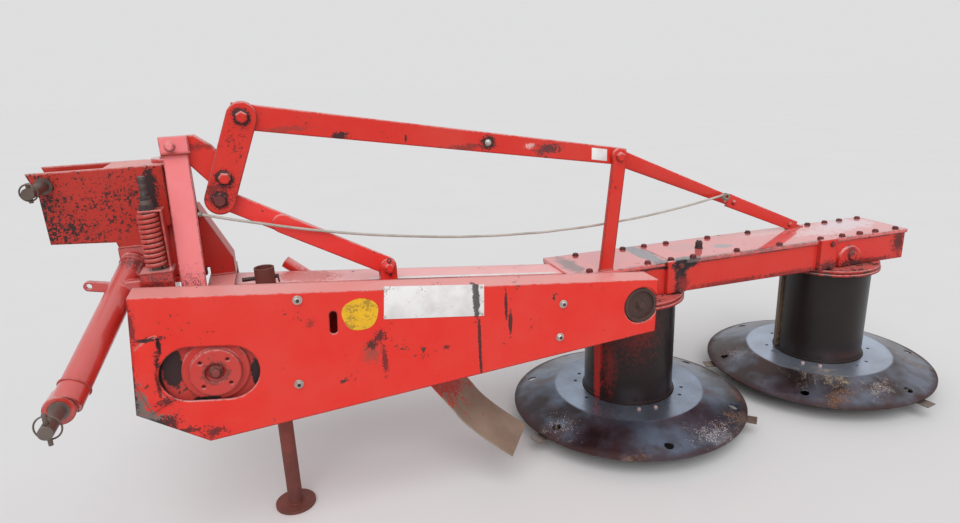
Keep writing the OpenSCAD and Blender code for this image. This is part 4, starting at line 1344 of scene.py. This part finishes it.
@dataclass
class Rope(Assembly):
    """The cord from the mast to the hook on the long brace, with its knots."""

    points: Line = (
        (-1250, -118, 857), (-1190, -106, 837), (-1123, -101, 818), (-1057, -97, 800), (-991, -92, 783),
        (-924, -88, 768), (-858, -83, 754), (-791, -79, 742), (-725, -74, 731), (-659, -70, 721),
        (-592, -65, 712), (-526, -61, 705), (-460, -56, 699), (-393, -52, 695), (-327, -48, 691),
        (-260, -43, 690), (-194, -39, 689), (-128, -34, 690), (-61, -30, 692), (5, -25, 695),
        (72, -21, 700), (138, -16, 706), (204, -12, 713), (271, -7, 722), (337, -3, 732),
    )
    diameter: float = 7.0
    steps: int = 5
    sides: int = 12
    eye: Place = (-1244.0, -117.0, 856.0)
    hook: Place = (343.0, -5.0, 726.0)

    def build(self, workshop: Workshop) -> None:
        """Args:
            workshop: Where pieces are finished.
        """
        line = smooth_line([place(*point) for point in self.points], self.steps)
        bm = bmesh.new()
        rings = sweep_tube(bm, line, [self.diameter / 2 * MM] * len(line), self.sides)
        wrap_uv(bm, rings, self.sides)
        piece = workshop.piece("rope_line", bm, Finish.ROPE_FIBRE, "", "rope_fibre")
        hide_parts("rope")
        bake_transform(piece)
        super().build(workshop)

    def parts(self) -> Iterable[Part]:
        """Tie the rope to the mast's eye and to the hook.

        Returns:
            The knots.
        """
        x, y, z = self.hook
        tail = ((x - 8, y - 3, z - 3), (x - 5, y - 7, z - 9), (x - 8, y - 8, z - 16))
        loops = (((x, y + 2, z), (0, 1, 0), 8.6), ((x, y - 5, z), (0.2, 1, 0.1), 8.6),
                 ((x - 8, y + 2, z - 1), (1, 0.5, 0.2), 5.0), ((x - 4, y - 6, z - 7), (0.6, 0.2, 1), 5.0))
        return [Wirework(name, Finish.ROPE_FIBRE, self.diameter / 2, runs, rings, 0.03, 2.4, 10, body=body,
                         slot="rope_fibre")
                for name, body, runs, rings in (
                    ("rope_eye_knot", "swing_head", (), ((self.eye, (1, 0.2, -0.3), 4.0),)),
                    ("rope_knot", "boom", (tail,), loops))]


@dataclass
class Headstock(Assembly):
    """The frame on the hitch: its welds, pins, spring rod and the pivot's cap."""

    coats = {Finish.FRAME_PAINT: "a_frame kingpin", Finish.BRACKET_PAINT: "toplink_bracket",
             Finish.SPRING_PAINT: "release_spring",
             Finish.PIN_STEEL: "hitch_pin_near hitch_pin_far toplink_pin spring_rod"}
    leg_run: Place = (-0.271, 0.830, -0.488)
    leg_r: float = 31.2
    heel: Place = (-1417.5, 72.0, 734.5)
    toe: Place = (-1512.7, 362.0, 564.3)
    spring: Flat = (-1352.0, -150.0)
    hitch_pin: Place = (-1534.0, 490.5, 543.0)
    toplink_pin: Place = (-1570.0, -172.0, 948.0)

    def parts(self) -> Iterable[Part]:
        """Make the welds, the rod's thread and nuts, the cap's screw and the linchpins.

        Returns:
            The parts.
        """
        run_x, run_y, run_z = self.leg_run
        rings = tuple(((x, side * y, z), (run_x, side * run_y, run_z), self.leg_r)
                      for side in (-1, 1) for x, y, z in (self.heel, self.toe))
        runs = tuple(((-1442.0, side * 69.0, 782.5), (-1378.0, side * 69.0, 782.5)) for side in (-1, 1))
        x, y = self.spring
        seams = (((x - 36, y - 34.3, 741), (x + 36, y - 34.3, 741)),
                 ((x - 36.3, y - 12, 706), (x - 36.3, y - 12, 681)))
        pin_x, pin_y, pin_z = self.hitch_pin
        top_x, top_y, top_z = self.toplink_pin
        linchpins = tuple(((px, py, low), (px, py, high)) for px, py, low, high in (
            (pin_x, -pin_y, 508, 575), (top_x, top_y, 925, 968), (pin_x, pin_y, 508, 575)))
        keys = (((pin_x, -486, pin_z), (0.12, 1, 0), 25.0), ((top_x, -176, top_z), (0.1, 1, 0), 18.0),
                ((pin_x, 486, pin_z), (-0.12, 1, 0), 25.0))
        dark, steel, on = Finish.DARK_BOLT, Finish.PIN_STEEL, {"body": "hitch"}
        return (
            Wirework("frame_welds", Finish.WELD_PAINT, 2.8, runs + seams, rings, 0.16, slot="red_paint",
                     **on),
            Wirework("spring_rod_thread", dark, 8.4, (((x, y, 917), (x, y, 959.5)),), (), 0.05, 0.8, 12,
                     **on),
            Bolting("spring_rod_nuts", dark, Fastener(30, 9, 18, 3), UP, ((x, y, 884.6),), **on),
            Bolting("spring_rod_locknut", dark, Fastener(23, 8), UP, ((x, y, 907.0),), **on),
            Bolting("pivot_cap_screw", Finish.FRAME_PAINT, Fastener(26, 9, 18, 3), UP,
                    ((-1310.0, 0.0, 984.0),), **on),
            Wirework("linchpins", steel, 4.6, linchpins, **on),
            Wirework("linchpin_rings", steel, 1.8, (), keys, **on),
        )


@dataclass
class SwingHead(Assembly):
    """The head on the pivot: its welds, the mast's foot and the cap screw."""

    coats = {Finish.HEAD_PAINT: "pivot_sleeve hinge_cheeks", Finish.MAST_PAINT: "mast",
             Finish.LEVER_PAINT: "bent_arm"}
    neck_x: float = -1275.3
    neck_y: float = 36.0
    cheek_y: float = 84.4
    foot: tuple[Flat, ...] = ((-1309.0, -164.0), (-1249.0, -164.0), (-1249.0, -139.0), (-1309.0, -139.0))
    foot_z: float = 668.0

    def parts(self) -> Iterable[Part]:
        """Make the mast's foot, the welds and the cap's screw.

        Returns:
            The parts.
        """
        neck = tuple(((self.neck_x, side * self.neck_y, 702.0), (self.neck_x, side * self.neck_y, 858.0))
                     for side in (-1, 1))
        cheeks = tuple(((-1249.0, side * self.cheek_y, 664.0), (-1191.0, side * self.cheek_y, 664.0))
                       for side in (-1, 1))
        foot = (((-1307.0, -160.6, 677.0), (-1251.0, -160.6, 677.0)),
                ((-1250.6, -161.0, 677.5), (-1250.6, -145.0, 677.5)),
                ((-1307.0, -144.8, 677.5), (-1251.0, -144.8, 677.5)))
        cap = ((-1309.5, -104.5, 1001.0), (-1245.5, -104.5, 1001.0))
        head_top = ((-1249.5, -36.6, 677.0), (-1191.0, -36.6, 677.0))
        on = {"body": "swing_head"}
        return (
            Sheet("mast_foot", Finish.HEAD_PAINT, [(x, y, self.foot_z) for x, y in self.foot], UP, 8.0, 1.2,
                  slot="red_paint", **on),
            Wirework("head_welds", Finish.WELD_PAINT, 3.6, (*neck, *cheeks, *foot, cap, head_top), (), 0.16,
                     slot="red_paint", **on),
            Bolting("mast_cap_screw", Finish.MAST_PAINT, Fastener(17, 6), NEAR, ((-1288.0, -111.0, 1019.0),),
                    slot="linkage_paint", **on),
        )


@dataclass
class Linkage(Assembly):
    """The lever, long bar, strut, post and brace: their pin heads, nuts, rings and doubler."""

    coats = {Finish.LEVER_PAINT: "lever", Finish.BAR_PAINT: "long_bar",
             Finish.STRUT_PAINT: "strut_upper strut_lower strut_lug", Finish.LINKAGE_PAINT: "post long_brace"}
    pivots: tuple[Flat, ...] = ((-1121.0, 1076.0), (-1179.0, 934.0))
    low_pivot: Flat = (-1197.0, 881.0)
    near_y: float = -105.0
    plate_y: float = -96.0
    far_y: float = -44.0
    sticker: tuple[Flat, ...] = ((-187.0, 899.6), (-138.0, 891.2), (-138.0, 925.2), (-187.0, 933.6))
    brace_top: Place = (-79.8, -53.0, 892.9)
    brace_run: Place = (803.8, 129.0, -330.9)
    brace_across: Place = (0.381, 0.0, 0.925)
    doubler: tuple[Flat, ...] = ((0.56, -22.0), (0.985, -19.0), (0.985, 19.0), (0.56, 22.0))
    doubler_screws: tuple[float, ...] = (0.59, 0.945)

    @property
    def brace_out(self) -> Vector:
        """Return the normal of the brace's near face."""
        return Vector(self.brace_run).cross(Vector(self.brace_across)).normalized()

    def brace_at(self, share: float, height: float, lift: float) -> Place:
        """Return a place on the brace's near face.

        Args:
            share: Share of the brace's length from its top.
            height: Millimetres above its middle line.
            lift: Millimetres proud of the face.

        Returns:
            The place.
        """
        top, run, across = Vector(self.brace_top), Vector(self.brace_run), Vector(self.brace_across)
        return tuple(top + run * share + across * height + self.brace_out * lift)

    def parts(self) -> Iterable[Part]:
        """Make the doubler, the sticker, and what holds and welds the linkage.

        Returns:
            The parts.
        """
        red, dark, paint = Finish.LINKAGE_PAINT, Finish.DARK_BOLT, Finish.LEVER_PAINT
        nut = Fastener(30, 7)
        pins = (*self.pivots, self.low_pivot)
        low_x, low_z = self.low_pivot
        on = {"body": "lift_lever"}
        legs = (((-798, -106, 635), (-797, -106, 657), (-798, -106, 676)),
                ((-794, -106, 633), (-795, -106, 657), (-796, -106, 674)))
        welds = (((-162, -99.4, 562.5), (-118, -99.4, 562.5)), ((-162, -86.6, 562.5), (-118, -86.6, 562.5)),
                 ((700, 75.8, 562.6), (748, 75.8, 562.6)), ((-820, -96, 569.5), (-776, -96, 566)))
        return (
            Sheet("brace_doubler", red,
                  [self.brace_at(share, height, -3.0) for share, height in self.doubler],
                  self.brace_out, 7.5, 1.0, slot="linkage_paint"),
            Bolting("brace_screws", red, Fastener(13, 5, 9, 1.5), self.brace_out,
                    tuple(self.brace_at(share, 0.0, 4.5) for share in self.doubler_screws)),
            Sheet("blank_bar_sticker", Finish.WHITE_FILM, [(x, -85.2, z) for x, z in self.sticker], NEAR,
                  0.7, 0.2, body="long_bar", slot="linkage_paint"),
            Bolting("lever_washers", paint, dome(35, 2.5), NEAR, tuple((x, self.plate_y, z) for x, z in pins),
                    slot="linkage_paint", **on),
            Bolting("lever_heads", paint, Fastener(26, 6), NEAR,
                    tuple((x, self.near_y, z) for x, z in self.pivots), slot="linkage_paint", **on),
            Bolting("lever_low_head", Finish.RED_BOLT, Fastener(25, 6), NEAR, ((low_x, self.near_y, low_z),),
                    **on),
            Bolting("lever_nuts", dark, nut, FAR, tuple((x, self.far_y, z) for x, z in pins), **on),
            Bolting("post_nut", red, Fastener(25, 7), NEAR, ((-102.0, -99.0, 902.0),)),
            Bolting("post_far_nut", dark, nut, FAR, ((-102.0, -41.0, 902.0),)),
            Bolting("lug_washer", Finish.STRUT_PAINT, dome(34, 3), NEAR, ((-798.0, -95.0, 657.0),),
                    slot="linkage_paint"),
            Bolting("bar_bolt", Finish.ZINC, Fastener(13, 6, 9, 1.5, 4, 4), NEAR, ((-499.0, -85.0, 970.0),),
                    body="long_bar"),
            Wirework("lug_cotter", Finish.RED_BOLT, 1.8, legs, (((-797, -106, 679), (0, 1, 0), 5.0),)),
            Wirework("post_welds", Finish.WELD_PAINT, 3.4, welds, slot="red_paint"),
        )


@dataclass
class BeltGuard(Assembly):
    """The folded guard: its nuts, doubler, blank plate and blank sticker, and the pulleys' screws."""

    coats = {Finish.GUARD_PAINT: "guard_cover guard_back", Finish.BELT_RUBBER: "drive_belts",
             Finish.PULLEY_PAINT: "input_pulley", Finish.CUP_IRON: "output_pulley"}
    face_y: float = FACE_Y
    nuts: tuple[Flat, ...] = ((-1048, 663), (-1068, 450), (-369, 552), (-379, 458))
    plate: tuple[Flat, ...] = ((-850, 584), (-592, 553), (-589, 638), (-843, 668))
    rivets: tuple[Flat, ...] = ((-845, 662), (-596, 632), (-848, 590), (-597, 559))
    doubler: tuple[Flat, ...] = (
        (-1407, 598), (-1383, 616), (-1358, 622), (-1357, 587), (-1365, 567), (-1374, 524), (-1372, 498),
        (-1363, 476), (-1351, 461), (-1395, 437), (-1408, 480), (-1420, 528), (-1413, 571))
    welded: int = 5
    sticker: Flat = (-906, 608)
    sticker_r: float = 44.0
    sticker_sides: int = 40

    def on_face(self, outline: Iterable[Flat], lift: float = 0.0) -> Line:
        """Return places on the guard's face, or so many millimetres proud of it."""
        return tuple((x, self.face_y - lift, z) for x, z in outline)

    def sticker_rim(self) -> list[Flat]:
        """Draw the round sticker with its peeled top.

        Returns:
            Its outline.
        """
        x, z = self.sticker
        rim = []
        for step in range(self.sticker_sides):
            angle = math.tau * step / self.sticker_sides
            radius = self.sticker_r - 7.0 * max(0.0, math.sin(angle)) ** 4 + 1.2 * math.sin(5 * angle)
            rim.append((x + radius * math.cos(angle), z + radius * math.sin(angle)))
        return rim

    def parts(self) -> Iterable[Part]:
        """Make the flat pieces on the guard's face, its nuts and the pulleys' screws.

        Returns:
            The parts.
        """
        flats = (("guard_doubler", Finish.GUARD_PAINT, self.doubler, 3.5, 0.8),
                 ("blank_plate", Finish.WHITE_FILM, self.plate, 1.2, 0.4),
                 ("blank_sticker", Finish.YELLOW_FILM, self.sticker_rim(), 0.6, 0.0))
        return (
            *(Sheet(name, finish, self.on_face(outline, 0.2), NEAR, thickness, chamfer, slot="red_paint")
              for name, finish, outline, thickness, chamfer in flats),
            Bolting("guard_nuts", Finish.ZINC, Fastener(15, 6, 11.5, 2), NEAR, self.on_face(self.nuts)),
            Bolting("guard_bolt_ends", Finish.DARK_BOLT, dome(8.5, 2), NEAR, self.on_face(self.nuts, 8.0)),
            Bolting("plate_rivets", Finish.ZINC, dome(7, 1.6), NEAR, self.on_face(self.rivets, 1.2)),
            Wirework("doubler_weld", Finish.GUARD_PAINT, 2.0,
                     (self.on_face(self.doubler, 0.6)[:self.welded],), (), 0.2, slot="red_paint"),
            Bolting("small_pulley_screw", Finish.CUP_IRON, Fastener(17, 6, 12, 2), NEAR,
                    ((-130.0, -281.0, 511.5),), body="output_pulley"),
            Bolting("large_pulley_screw", Finish.PULLEY_PAINT, Fastener(19, 7, 14, 2), NEAR,
                    ((-1248.0, -286.0, 515.0),), body="input_pulley"),
        )


@dataclass
class GearBeam(Assembly):
    """The gear housing: its strip, cover screws, breather, lug bolts and welds."""

    coats = {Finish.BEAM_PAINT: "gear_beam inner_beam", Finish.COVER_PAINT: "gear_cover",
             Finish.FLANGE_PAINT: "flange_inner flange_outer"}
    cover_z: float = 562.0
    half_w: float = 86.0
    near_x: tuple[float, ...] = (-191, 9, 92, 173, 338, 506, 675, 767, 843, 912, 1002)
    far_x: tuple[float, ...] = (-155, 18, 99, 184, 350, 518, 690, 780, 858, 926, 1010)
    breather: Flat = (250, -6)
    lugs_x: Flat = (98, 688)
    lug_y: float = -114.0
    strip: tuple[Flat, ...] = ((-845, -52), (-285, -52), (-285, -38), (-845, -34))
    axes: Flat = (0.0, 800.0)
    screw_ring_r: float = 158.0
    screw_count: int = 10

    def parts(self) -> Iterable[Part]:
        """Make the strip on the sloping beam, the screws, the breather and the welds.

        Returns:
            The parts.
        """
        strip = [(x, y, 658.2 - 0.1022 * (x + 1260.0)) for x, y in self.strip]
        seats = tuple((x, side * self.half_w, self.cover_z)
                      for row, side in ((self.near_x, -1), (self.far_x, 1)) for x in row)
        lug_bolts = tuple((x + 13, self.lug_y, z) for x in self.lugs_x for z in (548, 468))
        angles = [math.tau * (step + 0.5) / self.screw_count for step in range(self.screw_count)]
        under = tuple((axis + self.screw_ring_r * math.cos(angle), self.screw_ring_r * math.sin(angle), 437.0)
                      for axis in self.axes for angle in angles)
        rims = tuple(((axis, 0.0, 456.6), (0, 0, 1), 100.8) for axis in self.axes)
        sides = tuple(((x, -100.6, 549.8), (x + 110, -100.6, 549.8)) for x in (190, 420, 850))
        top = (*self.breather, self.cover_z)
        cap = (*self.breather, self.cover_z + 26.5)
        return (
            Sheet("blank_beam_strip", Finish.WHITE_FILM, strip, UP, 0.7, 0.2, slot="red_paint"),
            Bolting("cover_screws", Finish.RED_BOLT, Fastener(17, 6, 11, 1.5), UP, seats),
            Bolting("breather", Finish.DARK_BOLT, Fastener(20, 18, 13, 3, kind=Solid.CAP_NUT), UP, (top,)),
            Bolting("breather_cap", Finish.ZINC, dome(13, 3), UP, (cap,)),
            Bolting("lug_bolts", Finish.RED_BOLT, Fastener(14, 6, 10, 1.5), NEAR, lug_bolts),
            Bolting("flange_screws", Finish.DARK_BOLT, dome(13, 5), -UP, under),
            Wirework("flange_welds", Finish.DARK_BOLT, 3.0, sides, rims, 0.14, slot="red_paint"),
        )


@dataclass
class Cutter(Assembly):
    """One drum with its disc, knives and skid dish: its screws and weld."""

    name: str
    axis_x: float
    disc_turn: float
    drum_finish: Finish
    disc_finish: Finish
    bolted: tuple[int, ...] = (1, 4)
    ring_r: float = 176.0
    disc_z: float = 109.0
    foot_r: float = 151.0
    pair_half: float = 9.0

    @property
    def coats(self) -> Mapping[Finish, str]:
        """Return the finish of each of this cutter's nodes."""
        return {self.drum_finish: f"drum_{self.name}", self.disc_finish: f"disc_{self.name}",
                Finish.KNIFE_STEEL: f"knives_{self.name}", Finish.DISH_STEEL: f"skid_{self.name}"}

    def parts(self) -> Iterable[Part]:
        """Make the pairs of screws on the disc, and the weld at the drum's foot.

        Returns:
            The parts.
        """
        body = f"drum_{self.name}"
        turns = [math.radians(self.disc_turn + 60 * step + side * self.pair_half)
                 for step in self.bolted for side in (-1, 1)]
        spots = tuple((self.axis_x + self.ring_r * math.cos(turn), self.ring_r * math.sin(turn), self.disc_z)
                      for turn in turns)
        foot = (((self.axis_x, 0.0, self.disc_z + 0.6), (0, 0, 1), self.foot_r),)
        return (
            Bolting(f"disc_screws_{self.name}", Finish.PINK_BOLT, Fastener(11, 5, 7.5, 1), UP, spots,
                    body=body),
            Wirework(f"drum_weld_{self.name}", self.drum_finish, 1.6, (), foot, 0.16, 2.4, 6, body=body,
                     slot="drum_paint"),
        )


@dataclass
class Supports(Assembly):
    """The parking leg, its socket and the swath plate."""

    coats = {Finish.SWATH_STEEL: "swath_plate", Finish.LEG_IRON: "leg_socket parking_leg"}
    leg: Flat = (-1117.0, -105.0)
    pin_z: float = 675.0

    def parts(self) -> Iterable[Part]:
        """Make the cross pin, its ring and the weld at the leg's foot.

        Returns:
            The parts.
        """
        x, y = self.leg
        pin = ((x - 56, y, self.pin_z), (x + 34, y, self.pin_z))
        ring = ((x + 32, y, self.pin_z - 8), (1, 0, 0.2), 8.0)
        return (
            Wirework("leg_cross_pin", Finish.DARK_BOLT, 5.5, (pin,)),
            Wirework("leg_pin_ring", Finish.DARK_BOLT, 1.8, (), (ring,)),
            Wirework("leg_foot_weld", Finish.LEG_IRON, 2.6, (), (((x, y, 8.4), (0, 0, 1), 20.8),), 0.16,
                     body="parking_leg", slot="rusty_steel"),
        )


@dataclass
class Studio(Assembly):
    """The plain pale floor, the soft lamp and the pale surround."""

    floor_r: float = 40.0
    floor_sides: int = 96
    surround: Colour = (0.731, 0.731, 0.736)
    fill: float = 0.858
    sun_strength: float = 1.8
    sun_spread: float = 0.9
    sun_rise: float = 50.0
    sun_turn: float = 20.0
    sun_away: float = 4.0

    def build(self, workshop: Workshop) -> None:
        """Make the floor, the surround and the lamp.

        Args:
            workshop: Where the floor is finished.
        """
        bm = bmesh.new()
        bmesh.ops.create_circle(bm, cap_ends=True, segments=self.floor_sides, radius=self.floor_r)
        data = bpy.data.meshes.new("floor")
        bm.to_mesh(data)
        bm.free()
        floor = link("floor", data)
        workshop.coat(floor, Finish.PALE_FLOOR)
        self.build_surround()
        self.build_sun()

    def build_surround(self) -> None:
        """Light the scene evenly and show a pale background."""
        world = bpy.data.worlds.new("surround")
        world.use_nodes = True
        world.node_tree.nodes.clear()
        bench = NodeBench(world.node_tree)
        ray = bench.node("ShaderNodeLightPath").outputs
        seen = bench.math("MAXIMUM", ray["Is Camera Ray"], ray["Is Glossy Ray"])
        seen = bench.math("MAXIMUM", seen, ray["Is Transmission Ray"])
        strength = bench.blend(seen, self.fill, 1.0)
        glow = bench.node("ShaderNodeBackground", {"Color": self.surround, "Strength": strength})
        bench.node("ShaderNodeOutputWorld", {"Surface": glow.outputs["Background"]})
        bpy.context.scene.world = world

    def build_sun(self) -> None:
        """Add one wide soft lamp from the near left, high up."""
        data = bpy.data.lights.new("soft_lamp", "SUN")
        data.energy = self.sun_strength
        data.angle = self.sun_spread
        rise, turn = math.radians(self.sun_rise), math.radians(self.sun_turn)
        towards = Vector((-math.sin(turn) * math.cos(rise), -math.cos(turn) * math.cos(rise), math.sin(rise)))
        link("soft_lamp", data).matrix_world = facing(towards * self.sun_away, towards)


def main() -> None:
    """Build the camera, the rope, every finish, the small pieces and the studio."""
    logging.basicConfig(level=logging.INFO, format="%(message)s")
    bpy.context.scene.view_settings.view_transform = "Standard"
    workshop = Workshop()
    assemblies = (
        Viewpoint(), Rope(), Headstock(), SwingHead(), Linkage(), BeltGuard(), GearBeam(),
        Cutter("inner", 0.0, 21.0, Finish.DRUM_COAT, Finish.DISC_STEEL_INNER),
        Cutter("outer", 800.0, 41.0, Finish.DRUM_COAT_OUTER, Finish.DISC_STEEL_OUTER, (0, 3)),
        Supports(), Studio(),
    )
    for assembly in assemblies:
        log.info("building %s", type(assembly).__name__)
        assembly.build(workshop)


if __name__ == "__main__":
    main()
